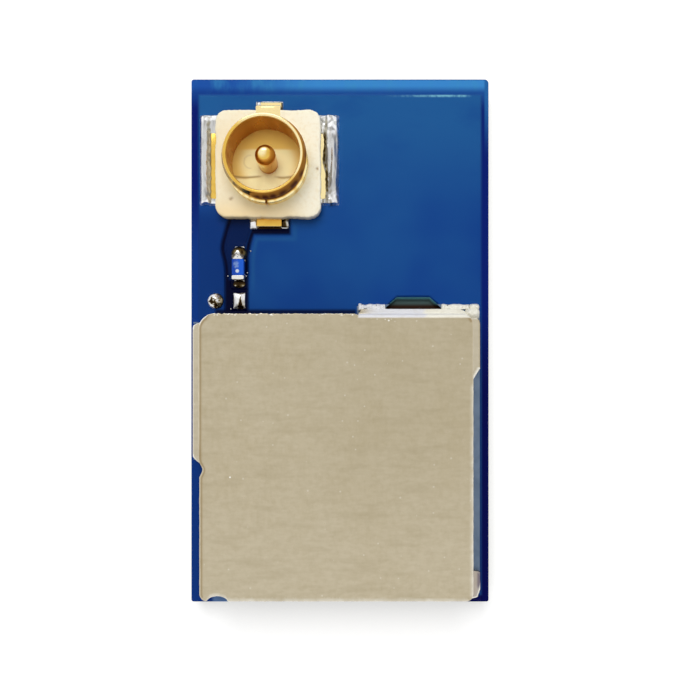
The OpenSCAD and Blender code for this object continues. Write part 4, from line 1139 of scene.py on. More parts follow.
def turned(profile, angles):
    """Carry a profile of (radius, height) rows round an upright axis."""
    radius, height = np.array(profile, float).T
    x = radius[:, None] * np.cos(angles)
    y = radius[:, None] * np.sin(angles)
    return np.stack([x, y, np.broadcast_to(height[:, None], x.shape)], axis=-1)


def facing(angles, degrees, start, soft):
    """1 on the side of a turned shape that faces this way: an ease of the cosine of the turn from it."""
    return ease((np.cos(angles - np.radians(degrees)) - start) / soft)


def arc(middle, radius, start, stop, count=7):
    """Points on an arc in the plane of a profile, angles in degrees from the first axis."""
    angles = np.radians(np.linspace(start, stop, count))
    return [(middle[0] + radius * math.cos(a), middle[1] + radius * math.sin(a)) for a in angles]


def strip(outline, width, way):
    """Carry a closed outline of (run, height) rows across a width. The run leads from the socket's middle
    along `way`. The first and last stations shrink a little, which rounds the strip's edges."""
    outline = np.array(outline, float)
    middle = outline.mean(axis=0)
    across = np.array([-0.5, -0.5, 0.5, 0.5]) * width + np.array([0, 1, -1, 0]) * STRIP_EDGE
    reach = np.linalg.norm(outline - middle, axis=1, keepdims=True)
    shrunk = middle + (outline - middle) * (1 - STRIP_EDGE / np.maximum(reach, 4 * STRIP_EDGE))
    run, up = np.moveaxis(np.stack([shrunk, outline, outline, shrunk]), -1, 0)
    x = socket_x + way[0] * run + abs(way[1]) * across[:, None]
    y = socket_y + way[1] * run + abs(way[0]) * across[:, None]
    return np.stack([x, y, up], axis=-1)


def flat_leg(start, stop, edge):
    """Side of a strip that lies on the board from start to stop, with a rounded upper end."""
    return [(start, board_top_z), (stop, board_top_z),
            *arc((stop - edge, board_top_z + CONTACT - edge), edge, 0, 90, 4),
            (start, board_top_z + CONTACT)]


print("strip and lathe helpers ready")

# %% Barrel
GROOVE, LIP = 0.935, 0.044
BASE_RING, BASE_RING_TOP, RING_ROUND = 1.0, 1.42, 0.05
BEAD_LOW, BEAD_HIGH = 1.75, 1.89
BARREL_LEAN, RING_SHIFT = (-0.05, 0.06), (-0.015, -0.02)
SLIT, SLIT_DEEP, SLIT_LOW, SLIT_IN = 0.03, 0.05, 1.15, 0.95
WOBBLE, WOBBLE_LONG = 0.0016, 0.7

barrel_top = box_mm("coax_barrel")[1][2]
angles = np.unique(np.concatenate([np.linspace(-np.pi / 2, 1.5 * np.pi, 145)[:-1],
                                   -np.pi / 2 + np.array([-SLIT, -SLIT / 2, SLIT / 2, SLIT])]))
groove_z = (BEAD_LOW + BASE_RING_TOP) / 2
inner_foot = (BORE + 0.005, FLOOR_Z - 0.06)
profile = [inner_foot, (BORE, FLOOR_Z + 0.3), (BORE, barrel_top - LIP - 0.015),
           *arc((BORE + LIP, barrel_top - LIP), LIP, 180, 0, 9),
           (BARREL - 0.012, BEAD_HIGH), (BARREL, BEAD_HIGH - 0.04), (BARREL - 0.002, BEAD_LOW + 0.04),
           (BARREL - 0.02, BEAD_LOW - 0.012), (GROOVE, groove_z + 0.06), (GROOVE, groove_z - 0.06),
           (GROOVE + 0.015, BASE_RING_TOP + 0.005),
           *arc((BASE_RING - RING_ROUND, BASE_RING_TOP - RING_ROUND), RING_ROUND, 90, 0, 5),
           (BASE_RING, housing_top + 0.02), (BASE_RING, housing_top - 0.1), inner_foot]
barrel = turned(profile, angles)
ring_radius, ring_z = np.hypot(barrel[:, :1, 0], barrel[:, :1, 1]), barrel[:, :1, 2]
on_ring = (ring_z < BASE_RING_TOP) & (ring_z > SLIT_LOW) & (ring_radius > SLIT_IN)
slit_share = (np.abs(angles + np.pi / 2) < SLIT) * on_ring
wobble = WOBBLE * ripple(barrel[..., 0], barrel[..., 1], WOBBLE_LONG, 31)
barrel[..., :2] *= (1 - SLIT_DEEP * slit_share + wobble)[..., None]
lean = np.clip((barrel[..., 2:] - housing_top) / (barrel_top - housing_top), 0, 1)
barrel[..., :2] += lean * BARREL_LEAN + (1 - lean) * RING_SHIFT + (socket_x, socket_y)
print("barrel of", barrel.shape[:2], "points, top at", round(barrel_top, 3), "mm")

# %% [markdown]
# Gold shows what stands around it: pale where it faces the light, amber inside the barrel and nearly black
# where it faces a shadow. The shader alone would miss the dark sides, so each point of the barrel and of
# the pin also carries a painted tone of that light and shade: 0 is pale gold, a quarter is plain gold, a
# half is deep and 1 is the shadow.

# %% Tones of the barrel
to_south = facing(angles, -46, 0.35, 0.3)
to_northeast = facing(angles, 50, -0.1, 0.6)
to_southeast = facing(angles, -25, -0.1, 0.5)
glints = ripple(np.cos(angles), np.sin(angles), 0.22, 35)
inside_tone = 0.45 + 0.03 * np.sin(angles) + 0.06 * ripple(np.cos(angles), np.sin(angles), 0.35, 33)
lip_tone = 0.30 - 0.28 * to_northeast - 0.1 * to_south
outer_tone = lip_tone + (0.62 - lip_tone) * to_southeast
shoulder_tone = 0.30 - 0.28 * to_northeast + 0.75 * to_south * (0.85 + 0.3 * glints)
shoulder_tone = np.maximum(shoulder_tone, 0.62 * to_southeast)
groove_tone = 0.50 + 0.45 * to_south
ring_tone = 0.06 + 0.14 * glints + 0.7 * slit_share.max(axis=0)
# Each tone with the number of profile points that it covers, in the order of the profile
stretches = ((inside_tone - 0.04, 1), (inside_tone, 1), (inside_tone + 0.06, 1), (lip_tone, 6),
             (outer_tone, 3), (shoulder_tone, 3), (groove_tone, 3), (ring_tone, 8), (inside_tone, 1))
deep_gold = np.clip(np.concatenate([np.tile(tone, (count, 1)) for tone, count in stretches]), 0, 1)
print("tones from", round(deep_gold.min(), 2), "to", round(deep_gold.max(), 2))

# %% Legs and strap
LEG_HALF, LEG_REACH = 0.83, 0.15
TAB_WIDTH, TAB_REACH = 0.60, 0.26
TUCKED = 0.1
INNER_BEND, OUTER_BEND, TAB_ROUND = 0.05, 0.07, 0.02
# Painted tones of the west leg, the east leg and the strap: the east leg and the strap are painted pale as
# highlights
STRIP_TONES = (0.24, 0.06, 0.08)

leg_outline = flat_leg(half_w - TUCKED, half_w + LEG_REACH, 0.03)
strap_z = housing_top + 0.008
tab_z = board_top_z + CONTACT
bend, tab_end = half_d + CONTACT, half_d + TAB_REACH
strap_outline = [(HOLE, strap_z - CONTACT), (half_d, strap_z - CONTACT), (half_d, board_top_z),
                 (tab_end, board_top_z), (tab_end, tab_z - TAB_ROUND),
                 (tab_end - TAB_ROUND, tab_z), (bend + INNER_BEND, tab_z),
                 *arc((bend + INNER_BEND, tab_z + INNER_BEND), INNER_BEND, 270, 180, 4),
                 *arc((bend - OUTER_BEND, strap_z - OUTER_BEND), OUTER_BEND, 0, 90, 5), (HOLE, strap_z)]
strips = [strip(leg_outline, 2 * LEG_HALF, (-1, 0)), strip(leg_outline, 2 * LEG_HALF, (1, 0)),
          strip(strap_outline, TAB_WIDTH, (0, 1))]
strip_tones = [np.full(grid.size // 3, tone) for grid, tone in zip(strips, STRIP_TONES)]
print(len(strips), "strips bent")

# %% Gold finish
GOLD_PALE = (0.96, 0.82, 0.45)
GOLD = (0.80, 0.52, 0.105)
GOLD_DULL = (0.62, 0.37, 0.055)
GOLD_DEEP = (0.56, 0.235, 0.028)
GOLD_SHADE = (0.10, 0.022, 0.005)

gold, gold_shader = new_finish("socket_gold", Specular_IOR_Level=0.1)
deep_value = painted(gold_shader, "deep")
cloud = noise(gold_shader, 0.25, 3.0)
shade = tint(ramp(cloud, 0.3, 0.8, 0.0, 0.6), GOLD, GOLD_DULL)
shade = tint(ramp(deep_value, 0.25, 0.0), shade, GOLD_PALE)
shade = tint(ramp(deep_value, 0.25, 0.5), shade, GOLD_DEEP)
shade = tint(ramp(deep_value, 0.5, 1.0), shade, GOLD_SHADE)
draw_lines = noise(gold_shader, 0.05, 2.0, (1, 1, 0.3))
polish = ramp(draw_lines, 0.2, 0.8, 0.14, 0.24)
feed(gold_shader, Base_Color=shade, Metallic=ramp(deep_value, 0.38, 0.62, 1.0, 0.1),
     Roughness=ramp(deep_value, 0.38, 0.62, polish, 0.6), Normal=relief(draw_lines, 0.0006))

make_piece("gold_barrel", "coax_barrel", gold, [(barrel, True), *((grid, True) for grid in strips)],
           [grid[end] for grid in strips for end in (0, -1)], sharp=42,
           paint={"deep": np.concatenate([deep_gold.ravel(), *strip_tones])})

# %% [markdown]
# The centre contact is a pin with a domed head, which leans a little like the barrel, and a flat tail that
# leaves the housing in the south. The pin is turned and the tail is one more strip.

# %% Centre pin
PIN, PIN_FOOT, PIN_DOME = 0.245, 0.235, 0.22
PIN_UNDER = 0.08
PIN_LEAN = (-0.03, 0.10)

pin_top = box_mm("coax_pin")[1][2]
pin_neck = pin_top - PIN_DOME
up = np.linspace(0, 1, 8)
shank = np.stack([PIN_FOOT + (PIN - PIN_FOOT) * ease(up), FLOOR_Z + (pin_neck - FLOOR_Z) * up], axis=1)
turn = np.linspace(0, np.pi / 2, 18)
head = np.stack([PIN * np.cos(turn), pin_neck + PIN_DOME * np.sin(turn)], axis=1)
pin_turn = np.linspace(0, 2 * np.pi, 64, endpoint=False)
pin_foot_z = FLOOR_Z - PIN_UNDER
pin = turned([(0.0, pin_foot_z), (PIN_FOOT, pin_foot_z), *shank.tolist(), *head[1:].tolist()], pin_turn)
pin_rise = np.clip((pin[..., 2:] - FLOOR_Z) / (pin_top - FLOOR_Z), 0, 1)
pin[..., :2] += pin_rise * PIN_LEAN + (socket_x, socket_y)
print("pin of", pin.shape[:2], "points, top at", round(pin_top, 3), "mm")

# %% Tones of the pin, and its tail
# Change of tone, middle and size of the painted highlight and the painted shade spot on the pin's head
PIN_SPOTS = ((-0.30, (-0.05, 0.05), 0.15), (0.14, (0.14, 0.0), 0.09))
TAIL_WIDTH, TAIL_REACH, TAIL_TUCKED = 0.61, 0.17, 0.12

rise = pin_rise[..., 0]
from_axis = pin[..., :2] - (socket_x, socket_y) - PIN_LEAN
on_head = ease((rise - 0.70) / 0.1)
to_east = facing(pin_turn, -35, 0.1, 0.6)
to_west = facing(pin_turn, 215, 0.4, 0.4)
belly = np.exp(-(((rise - 0.62) / 0.16) ** 2))
slope = ease((np.linalg.norm(from_axis, axis=-1) / PIN - 0.5) / 0.25) * on_head
pin_tone = 0.28 + 0.22 * slope + 0.12 * (1 - on_head) * to_east + 0.25 * ease((0.12 - rise) / 0.12)
pin_tone = pin_tone - 0.30 * belly * to_west
for change, middle, size in PIN_SPOTS:
    spot = np.exp(-((np.linalg.norm(from_axis - middle, axis=-1) / size) ** 2))
    pin_tone = pin_tone + change * spot * on_head
pin_tone = np.clip(pin_tone, 0, 1)
tail = strip(flat_leg(half_d - TAIL_TUCKED, half_d + TAIL_REACH, 0.025), TAIL_WIDTH, (0, -1))
tail_share = (socket_y - half_d - tail[..., 1]) / TAIL_REACH
# Painted tone of the tail: deep gold by the housing as painted shade, pale at its tip as a painted
# highlight
tail_tone = np.clip(0.50 - 0.42 * ease((tail_share - 0.7) / 0.3), 0.08, 0.50)
make_piece("gold_pin", "coax_pin", gold, [(pin, True), (tail, True)], [tail[0], tail[-1]], sharp=42,
           paint={"deep": np.concatenate([pin_tone.ravel(), tail_tone.ravel()])})

# %% [markdown]
# ## Solder
# Solder froze in lumps: it climbs the metal that it wets, ends in a thin edge on its land and its skin is
# wrinkled. Sculpting would be one way. Here a lump is a height field over its land, so that it can be
# changed by its numbers: a rise from the edge, made uneven by two sizes of ripple. The flat underside
# closes it. Flux left on the metal, painted dark reflections and painted white highlights are carried by
# the points as one value.

# %% Helpers for lumps and drops
SOLDER_SINK = 0.012
LUMP_SWAY, LUMP_SWAY_LONG = (0.045, 0.035), (0.5, 0.25)
LUMP_THIN = 0.004
DROP_GRAIN, DROP_GRAIN_FINE = 0.17, 0.06


def lump(low, high, counts, height, floor, paint):
    """Height field over a rectangle with a flat underside. height(u, v, x, y) gets shares u and v from 0
    to 1 and the plan, and returns the height over the floor. paint gives the share of flux, painted
    reflection and painted highlight the same way."""
    u, v = np.meshgrid(np.linspace(0, 1, counts[0]), np.linspace(0, 1, counts[1]))
    x, y = low[0] + u * (high[0] - low[0]), low[1] + v * (high[1] - low[1])
    x = x + LUMP_SWAY[0] * ripple(x * 0, y, LUMP_SWAY_LONG[0], counts[1]) * (u - 0.5)
    y = y + LUMP_SWAY[1] * ripple(x, y * 0, LUMP_SWAY_LONG[1], counts[0]) * (v - 0.5)
    edge = np.minimum.reduce([u, 1 - u, v, 1 - v]) > 0
    top = np.stack([x, y, floor + np.maximum(height(u, v, x, y), LUMP_THIN) * edge], axis=-1)
    return (top, False), rim(top), np.clip(paint(u, v, x, y), -1, 1).ravel()


def dome(middle, half, height, seed, square=0.0, uneven=0.08, flux_and_reflection=None, count=27):
    """A drop of solder. With u and v from -1 to 1 and k = 1 - square, the plan is the middle plus half
    times (u √(1 - k v²/2), v √(1 - k u²/2)). The height is h √((1 - u²)(1 - v²)), uneven by a ripple."""
    share = np.sin(np.linspace(-np.pi / 2, np.pi / 2, count))
    u, v = np.meshgrid(share, share)
    x = middle[0] + half[0] * u * np.sqrt(1 - (1 - square) * v * v / 2)
    y = middle[1] + half[1] * v * np.sqrt(1 - (1 - square) * u * u / 2)
    lumpy = (1 + uneven * ripple(x, y, DROP_GRAIN, seed)
             + 0.3 * uneven * ripple(x, y, DROP_GRAIN_FINE, seed + 1))
    fall = np.sqrt(np.clip((1 - u * u) * (1 - v * v), 0, 1))
    top = np.stack([x, y, board_top_z - SOLDER_SINK + (height + SOLDER_SINK) * fall * lumpy], axis=-1)
    stain = np.zeros_like(u) if flux_and_reflection is None else np.clip(flux_and_reflection(u, v), -1, 1)
    return (top, False), rim(top), stain.ravel()


def make_solder(name, node, lumps, finish):
    """One piece of several lumps, with their flux, painted reflections and painted highlights as an
    attribute.
    """
    sheets, caps, flux_and_reflection = zip(*lumps)
    make_piece(name, node, finish, sheets, caps, sharp=70, paint={"flux_and_reflection": np.concatenate(flux_and_reflection)})


print("lump helpers ready")

# %% Solder finish
SOLDER_BRIGHT = (0.86, 0.86, 0.86)
SOLDER_DULL = (0.42, 0.42, 0.42)
LEG_BRIGHT = (0.62, 0.62, 0.61)
LEG_DULL = (0.27, 0.26, 0.25)
SOLDER_WHITE = (0.97, 0.97, 0.97)
FLUX_AND_REFLECTION_AMBER = (0.200, 0.150, 0.060)
FLUX_AND_REFLECTION_BROWN = (0.022, 0.010, 0.004)


def solder_finish(name, light, dark):
    """Bright metal with duller streaks. The flux attribute, which also carries painted reflections, turns
    it to amber and then to brown; below zero it turns it white, as painted highlights."""
    finish, shader = new_finish(name, Metallic=1.0)
    flux_and_reflection_value = painted(shader, "flux_and_reflection")
    cloud = noise(shader, 0.16, 2.0, (1, 0.3, 1))
    shade = tint(ramp(cloud, 0.45, 0.75), light, dark)
    shade = tint(ramp(flux_and_reflection_value, 0.0, -1.0), shade, SOLDER_WHITE)
    shade = tint(ramp(flux_and_reflection_value, 0.0, 0.5), shade, FLUX_AND_REFLECTION_AMBER)
    feed(shader, Base_Color=tint(ramp(flux_and_reflection_value, 0.5, 1.0), shade, FLUX_AND_REFLECTION_BROWN),
         Roughness=ramp(cloud, 0.3, 0.8, 0.24, 0.40),
         Normal=relief(noise(shader, 0.12, 2.0, (1, 0.4, 1)), 0.004))
    return finish


solder = solder_finish("bright_solder", SOLDER_BRIGHT, SOLDER_DULL)
leg_finish = solder_finish("streaky_solder", LEG_BRIGHT, LEG_DULL)
print("solder finishes made")

# %% Solder at the side legs
ground_low, ground_high = box_mm("coax_ground_solder")
GROUND_HIGH = ground_high[2] - board_top_z
GROUND_REACH = ground_high[0] - socket_x - half_w
LEG_FLUSH = CONTACT + SOLDER_SINK + 0.008
LEG_UNDER, LAND_OVER = 0.04, 0.008
WEST_BARE, EAST_BARE, EAST_BARE_SOUTH = 0.125, 0.015, 0.06


def leg_solder(side, bare_width, wrinkle, seam_tone, highlit_ends, seed):
    """Joint beside a leg: the height rises from the land's outer edge to a shoulder. It stays under the
    leg's top where the gold is bare, up to a ragged line bare_width(v) from the housing, and its two ends
    wrap round the leg."""
    def bare_line(v, y):
        return bare_width(v) + 0.014 * ripple(y * 0, y, 0.16, seed)

    def rise(u, v, x, y):
        from_wall = np.abs(x - socket_x) - half_w
        out = GROUND_REACH - from_wall
        body = (1 - (1 - np.clip(out / 0.14, 0, 1)) ** 2) * (0.82 + 0.18 * ease(out / 0.3))
        ends = ease(np.minimum(v, 1 - v) / 0.03)
        on_leg = ease((LEG_HALF - 0.02 - np.abs(y - socket_y)) / 0.03)
        bare = ease((bare_line(v, y) + 0.02 - from_wall) / 0.05) * on_leg
        folds = 1 + wrinkle * (ripple(x, y * 0.2, 0.16, seed + 1) + 0.3 * ripple(x, y, 0.3, seed + 2))
        full = LEG_FLUSH + (GROUND_HIGH * body - LEG_FLUSH) * ease((from_wall - bare_line(v, y)) / 0.14)
        return np.minimum(full, GROUND_HIGH * body) * folds * ends * (1 - bare) + LEG_UNDER * bare

    def stain(u, v, x, y):
        from_wall = np.abs(x - socket_x) - half_w
        along = ease((LEG_HALF + 0.06 - np.abs(y - socket_y)) / 0.06)
        seam = np.exp(-(((from_wall - bare_line(v, y) - 0.05) / 0.024) ** 2)) * along
        seam = seam * ease(0.8 + 0.6 * ripple(y * 0, y, 0.2, seed + 6))
        murky = 0.45 * ease((0.3 - v) / 0.25) * ease(0.5 + ripple(x, y * 0.4, 0.12, seed + 3))
        murky = murky * ease((from_wall - 0.12) / 0.1)
        # Painted highlights: the joint's two ends and its outer edge are painted white
        ends = ease((highlit_ends - np.minimum(1.6 * v, 1 - v)) / 0.08)
        ends = ends * ease(0.7 + ripple(x, y, 0.14, seed + 4))
        edge = ease((from_wall - GROUND_REACH + 0.07) / 0.05) * ease(0.6 + ripple(y * 0, y, 0.12, seed + 5))
        # A positive share paints the seam and the murky patches brown; the west joint's negative one paints
        # them white, as painted highlights
        return seam_tone * np.maximum(seam, murky) - 0.8 * np.maximum(ends, 0.6 * edge)

    near, far = sorted((socket_x + side * (half_w - LEG_UNDER),
                        socket_x + side * (half_w + GROUND_REACH + LAND_OVER)))
    return lump((near, ground_low[1] - LAND_OVER), (far, ground_high[1] + LAND_OVER), (60, 150), rise,
                board_top_z - SOLDER_SINK, stain)


def west_bare_width(v):
    """Width of the bare gold on the west leg: the same all along."""
    return WEST_BARE + 0 * v


def east_bare_width(v):
    """Width of the bare gold on the east leg: wider in the south, with a slight wave."""
    return EAST_BARE + EAST_BARE_SOUTH * ease((0.5 - v) / 0.15) + 0.012 * np.sin(11 * v)


make_solder("leg_solder", "coax_ground_solder",
            [leg_solder(-1, west_bare_width, 0.03, -0.8, 0.13, 41),
             leg_solder(1, east_bare_width, 0.14, 0.9, 0.27, 45)], leg_finish)

# %% Solder at the tail and the tab
signal_low, signal_high = box_mm("coax_signal_solder")
tab_low, tab_high = box_mm("coax_tab_solder")
SIDE_OVER = 0.012

tail_edge = TAIL_WIDTH / 2
west_half = (socket_x - tail_edge - signal_low[0]) / 2 + SIDE_OVER
east_half = (signal_high[0] - socket_x - tail_edge) / 2 + SIDE_OVER
make_solder("tail_solder", "coax_signal_solder", [
    dome((signal_low[0] + west_half - SIDE_OVER, 2.90), (west_half, 0.15), 0.12, 51, square=0.9),
    dome((signal_high[0] - east_half + SIDE_OVER, 2.93), (east_half, 0.13), 0.09, 53, square=0.9,
         uneven=0.2, flux_and_reflection=lambda u, v: 0.25 + 0.65 * ease((0.3 - u - 0.3 * v) / 0.4)),
    dome((socket_x, signal_low[1] + 0.02), (tail_edge + 0.02, 0.03), 0.03, 55, square=0.9,
         flux_and_reflection=lambda u, v: 0.97 + 0 * u)], solder)
tab_edge = TAB_WIDTH / 2
tab_y = (tab_low + tab_high)[1] / 2
make_solder("tab_solder", "coax_tab_solder", [
    dome((socket_x - tab_edge + 0.05, tab_y + 0.04), (0.07, 0.11), 0.14, 57, square=0.7),
    dome((socket_x + tab_edge, tab_y), (0.03, 0.13), 0.06, 59, square=0.9, flux_and_reflection=lambda u, v: 0.8 + 0 * u),
    dome((socket_x, tab_high[1] - 0.02), (tab_edge, 0.03), 0.04, 58, square=0.9)], solder)

# %% [markdown]
# ## Radio line
# On the line sit one chip part with a blue glazed body and tinned ends, its two solder fillets, a spare pad
# and a test point. The body and its ends are blocks with softened edges: a small plate whose edge carries a
# quarter-round profile down to the board.


# %% Helper for soft blocks
def soft_block(low, high, edge, corner, lines=9):
    """A block with rounded edges: a plate for the top, a profile carried down its rim, and a flat base."""
    x, y = plate(np.linspace(low[0] + edge, high[0] - edge, lines),
                 np.linspace(low[1] + edge, high[1] - edge, lines), [corner] * 4)
    loop = np.stack([rim(x), rim(y)], axis=1)
    bend = np.linspace(0, np.pi / 2, 5)[:, None]
    out = np.concatenate([edge * np.sin(bend), edge * np.cos(bend)])
    up = np.concatenate([high[2] - edge * (1 - np.cos(bend)), low[2] + edge * (1 - np.sin(bend))])
    side = carry(loop, outward(loop), out, up)
    top = np.stack([x, y, np.full_like(x, high[2])], axis=-1)
    return [(top, False), (side, True)], side[-1]


body_low, body_high = box_mm("matching_chip_body")
body_south, body_north = body_low[1] - 0.05, body_high[1] + 0.02
print("chip body", (body_high - body_low).round(2), "mm")

# %% Chip body
CHIP_BLUE = (0.014, 0.110, 0.62)
CHIP_DEEP = (0.010, 0.060, 0.40)
CHIP_PALE = (0.28, 0.42, 0.68)
CHIP_WHITE = (0.66, 0.72, 0.80)
PALE_PATCH, PALE_PATCH_SIZE = (line_x - 0.035, 1.86), (0.10, 0.12)
DOT, DOT_SIZE = (line_x - 0.01, 1.70), (0.055, 0.055)
BODY_IN, BODY_LAP, BODY_DROP = 0.004, 0.01, 0.008

glaze, glaze_shader = new_finish("blue_glaze", Roughness=0.2, Specular_IOR_Level=0.12)
east_mm = axis(glaze_shader, "X")
shade = tint(ramp(east_mm, line_x - 0.1, line_x + 0.08), CHIP_DEEP, CHIP_BLUE)
patchy = ramp(noise(glaze_shader, 0.06, 2.0), 0.40, 0.65, 0.1, 0.6)
# A pale patch and a white dot are painted on the body
shade = tint(times(blot(glaze_shader, PALE_PATCH, PALE_PATCH_SIZE), patchy), shade, CHIP_PALE)
feed(glaze_shader, Base_Color=tint(blot(glaze_shader, DOT, DOT_SIZE), shade, CHIP_WHITE))
body_sheets, body_base = soft_block(
    (body_low[0] + BODY_IN, body_south - BODY_LAP, body_low[2]),
    (body_high[0] - BODY_IN, body_north + BODY_LAP, body_high[2] - BODY_DROP), 0.015, 0.01)
make_piece("chip_body", "matching_chip_body", glaze, body_sheets, [body_base])

# %% Tinned ends of the chip
END_BRIGHT, END_DULL = (0.92, 0.91, 0.87), (0.66, 0.64, 0.60)

tinned_end, end_shader = new_finish("tinned_end", Metallic=1.0)
cloud = noise(end_shader, 0.09, 3.0)
end_flux = painted(end_shader, "flux_and_reflection")
shade = tint(cloud, END_BRIGHT, END_DULL)
feed(end_shader, Base_Color=tint(end_flux, shade, FLUX_AND_REFLECTION_BROWN),
     Roughness=ramp(cloud, 0.3, 0.8, 0.25, 0.45), Normal=relief(cloud, 0.004))
cap_sheets, cap_bases = [], []
for south_end, north_end in ((chip_low[1] - 0.02, body_south), (body_north, chip_high[1])):
    sheets, base = soft_block((chip_low[0], south_end, chip_low[2]),
                              (chip_high[0], north_end, chip_high[2]), 0.02, 0.015)
    cap_sheets += sheets
    cap_bases.append(base)
cap_x, cap_y = np.concatenate([grid.reshape(-1, 3) for grid, wrap in cap_sheets]).T[:2]
cap_flux = ease((np.abs(cap_x - line_x) + 0.8 * (cap_y - body_north) - 0.11) / 0.03) * (cap_y > body_north)
make_piece("chip_ends", "matching_chip_caps", tinned_end, cap_sheets, cap_bases,
           paint={"flux_and_reflection": 0.9 * cap_flux})


# %% Flux, painted reflections and painted highlights on the drops of the radio line
def upper_flux_and_reflection(u, v):
    """Flux and painted reflection on the upper drop: white metal in a triangle that widens to the chip,
    dark on its right.
    """
    below = 0.49 - v
    in_triangle = np.minimum(u + 0.1 + 0.6 * below, 0.52 * below - 0.1 - u)
    white = ease(in_triangle / 0.15 + 0.5)
    dark = np.exp(-(((u - 0.45) / 0.22) ** 2 + ((v - 0.1) / 0.4) ** 2))
    return (0.6 + 0.4 * dark) * (1 - white) - 0.4 * white


def wedge_flux(u, v):
    """A dark wedge on the spare pad that widens to the south."""
    wedge = ease((0.30 * (0.7 - v) - np.abs(u - 0.22)) / 0.08) * ease((0.8 - v) / 0.2)
    corner = 0.22 * ease((u - 0.5) / 0.2) * ease((0.3 - v) / 0.4)
    return np.maximum(wedge, corner) - 0.3 * ease((-0.1 - u) / 0.3)


def spotted_flux_and_reflection(u, v):
    """Dark patches of flux and painted reflection on the test point: two soft rounds whose outlines a
    ripple makes ragged.
    """
    left = np.exp(-(((u + 0.33) ** 2 + (v + 0.05) ** 2) / 0.13))
    lower = np.exp(-(((u - 0.15) ** 2 + (v + 0.55) ** 2) / 0.12))
    ragged = left + lower + 0.45 * ripple(u, v, 0.45, 75) + 0.25 * ripple(u, v, 0.2, 76)
    olive = 0.4 * ease((u - 0.3 + 0.25 * ripple(u, v, 0.4, 77)) / 0.3)
    return np.maximum(1.25 * ease((ragged - 0.32) / 0.25) - 0.25, olive)


def lower_flux_and_reflection(u, v):
    """Dark flux and painted reflection over the lower drop, with two painted highlights at its southern
    corners.
    """
    southwest = np.exp(-((np.hypot(u + 0.6, v + 0.45) / 0.2) ** 2))
    southeast = np.exp(-((np.hypot(u - 0.6, v + 0.5) / 0.3) ** 2))
    return 0.93 - 0.9 * (southwest + southeast)


print("four patterns of flux ready")

# %% Solder of the chip, the spare pad and the test point
BALLS = ((-2.78, 1.60), (-2.33, 1.60), (-2.30, 1.68), (-2.22, 2.22), (-2.71, 0.78))
BALL = 0.022

spare_low, spare_high = box_mm("spare_pad_solder")
test_low, test_high = box_mm("test_point_solder")
balls = [dome(spot, (BALL, BALL), BALL, 90 + i, count=9) for i, spot in enumerate(BALLS)]
make_solder("chip_solder", "matching_chip_solder", [
    dome((line_x, 2.16), (0.195, 0.175), 0.20, 61, flux_and_reflection=upper_flux_and_reflection),
    dome((line_x - 0.01, 2.06), (0.085, 0.095), 0.36, 62, square=0.1, uneven=0.12),
    dome((line_x, 1.40), (0.16, 0.105), 0.08, 63, flux_and_reflection=lower_flux_and_reflection),
    dome((line_x, 1.60), (0.14, 0.10), 0.031, 65, square=0.8, count=11),
    dome((line_x, 2.03), (0.14, 0.10), 0.031, 67, square=0.8, count=11), *balls], solder)
make_solder("spare_solder", "spare_pad_solder", [
    dome((spare_low + spare_high)[:2] / 2, (spare_high - spare_low)[:2] / 2 + 0.008, 0.085, 71, square=0.92,
         flux_and_reflection=wedge_flux)], solder)
make_solder("test_solder", "test_point_solder", [
    dome((test_low + test_high)[:2] / 2, (test_high - test_low)[:2] / 2 + 0.004, 0.15, 73,
         flux_and_reflection=spotted_flux_and_reflection)], solder)

# %% [markdown]
# A ragged bead of solder lies in front of the can's north foot, on both sides of the slot, and two drops
# stand at its east end. The bead is a long lump whose ripples run mostly along it, and it shares the two
# colours of the tin on the can.

# %% Solder along the can's north foot
FOOT_UNDER, FOOT_OVER, PER_MM = 0.04, 0.006, 60

foot_low, foot_high = box_mm("can_solder")


def foot_solder(start, stop, seed):
    """A ragged bead in front of the foot: a half-round rise with strong ripples along it."""
    def rise(u, v, x, y):
        ragged = 0.88 + 0.22 * ripple(x, y * 0.3, 0.16, seed) + 0.08 * ripple(x, y, 0.06, seed + 1)
        return (foot_high[2] - foot_low[2]) * np.clip(ragged, 0.1, 1.1) * np.sqrt(np.clip(1 - v**4, 0, 1))

    def stain(u, v, x, y):
        return 0.8 * ease((ripple(x, y, 0.12, seed + 2) - 0.6) / 0.3) * ease((v - 0.5) / 0.3)

    return lump((start, foot_low[1] - FOOT_UNDER), (stop, foot_high[1] + FOOT_OVER),
                (int((stop - start) * PER_MM), 12), rise, foot_low[2] - SOLDER_SINK, stain)


dull_tin, dull_shader = new_finish("dull_tin", Metallic=0.2, Roughness=0.55)
flux_and_reflection_value = painted(dull_shader, "flux_and_reflection")
frost = noise(dull_shader, 0.08, 3.0)
shade = tint(ramp(frost, 0.45, 0.7, 0.0, 0.5), tin_colour(dull_shader), FLECK_AND_GLINT_WHITE)
feed(dull_shader, Base_Color=tint(flux_and_reflection_value, shade, FLUX_AND_REFLECTION_BROWN), Normal=relief(frost, 0.006))
east_x, front_y = foot_high[:2]
make_solder("foot_solder", "can_solder", [
    foot_solder(foot_low[0] + 0.03, SLOT_MID - SLOT_WIDE + 0.02, 81),
    foot_solder(SLOT_MID + SLOT_WIDE - 0.02, east_x + 0.04, 83),
    dome((east_x + 0.17, front_y - 0.075), (0.13, 0.085), 0.15, 85, uneven=0.15, square=0.4),
    dome((east_x + 0.12, front_y - 0.23), (0.185, 0.14), 0.22, 86, uneven=0.15, square=0.6)], dull_tin)

# %% [markdown]
# ## The nodes that stay
# The lands and the parts under the can keep their CAD meshes. They are hidden or flat, so they only need a
# finish each, which still has the mottling of the real material.

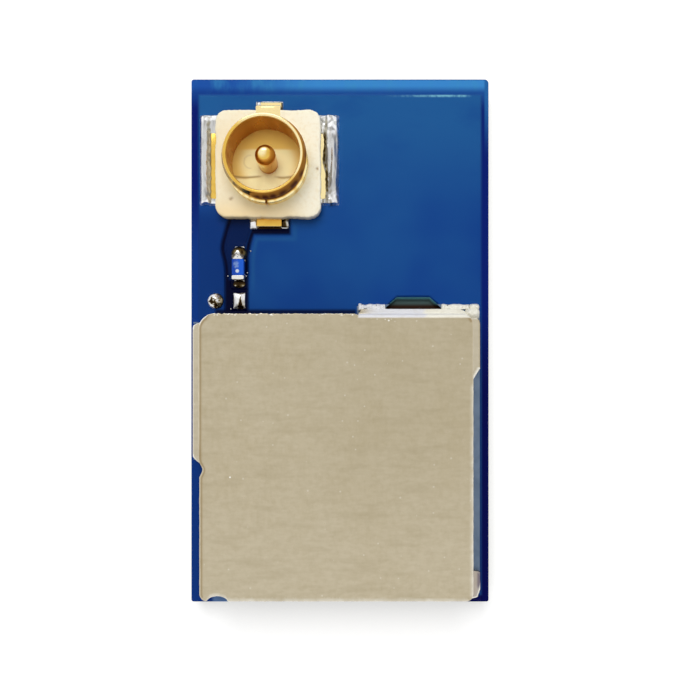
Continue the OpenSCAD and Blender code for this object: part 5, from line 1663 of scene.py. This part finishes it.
# %% Finishes for the nodes that stay
# Name, the two colours, size of the lumps, share of metal, the two roughnesses and depth of the relief
STAY = {
    "top_lands": ("tinned_land", (0.66, 0.66, 0.65), (0.50, 0.50, 0.50), 0.15, 1.0, (0.25, 0.4), 0.003),
    "can_land": ("veiled_land", (0.150, 0.205, 0.30), (0.115, 0.165, 0.25), 0.3, 0.6, (0.35, 0.5), 0.002),
    "bottom_lands": ("gold_land", (0.86, 0.64, 0.27), (0.72, 0.50, 0.18), 0.2, 1.0, (0.2, 0.35), 0.002),
    "radio_chip_body": ("black_epoxy", (0.03, 0.03, 0.032), (0.018, 0.018, 0.02), 0.08, 0.0,
                        (0.5, 0.7), 0.004),
    "main_crystal_base": ("brown_ceramic", (0.2, 0.13, 0.08), (0.13, 0.08, 0.05), 0.1, 0.0,
                          (0.5, 0.7), 0.004),
    "main_crystal_lid": ("seam_welded_lid", (0.6, 0.58, 0.52), (0.5, 0.48, 0.43), 0.2, 1.0,
                         (0.3, 0.45), 0.002),
    "capacitor_bodies": ("tan_ceramic", (0.45, 0.3, 0.16), (0.36, 0.23, 0.12), 0.08, 0.0,
                         (0.4, 0.6), 0.003),
    "inductor_bodies": ("grey_ferrite", (0.12, 0.12, 0.12), (0.08, 0.08, 0.085), 0.08, 0.0,
                        (0.5, 0.7), 0.004),
}


def mottled(name, first, second, size, metallic, rough, depth):
    """A finish whose colour and roughness both follow one cloudy noise."""
    finish, shader = new_finish(name, Metallic=metallic)
    cloud = noise(shader, size, 3.0)
    feed(shader, Base_Color=tint(ramp(cloud, 0.3, 0.75), first, second),
         Roughness=ramp(cloud, 0.25, 0.8, *rough), Normal=relief(noise(shader, size / 4, 2.0), depth))
    return finish


stay = {node: mottled(*row) for node, row in STAY.items()}
stay["inner_solder"] = solder
for node in ("radio_chip_leads", "capacitor_caps", "inductor_caps"):
    stay[node] = tinned_end
for node in ("main_crystal_terminals", "clock_crystal_terminals"):
    stay[node] = stay["bottom_lands"]
for part in ("base", "lid"):
    stay["clock_crystal_" + part] = stay["main_crystal_" + part]
for node, finish in stay.items():
    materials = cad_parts[node].data.materials
    materials.clear()
    materials.append(finish)
print(len(stay), "CAD nodes keep their mesh")
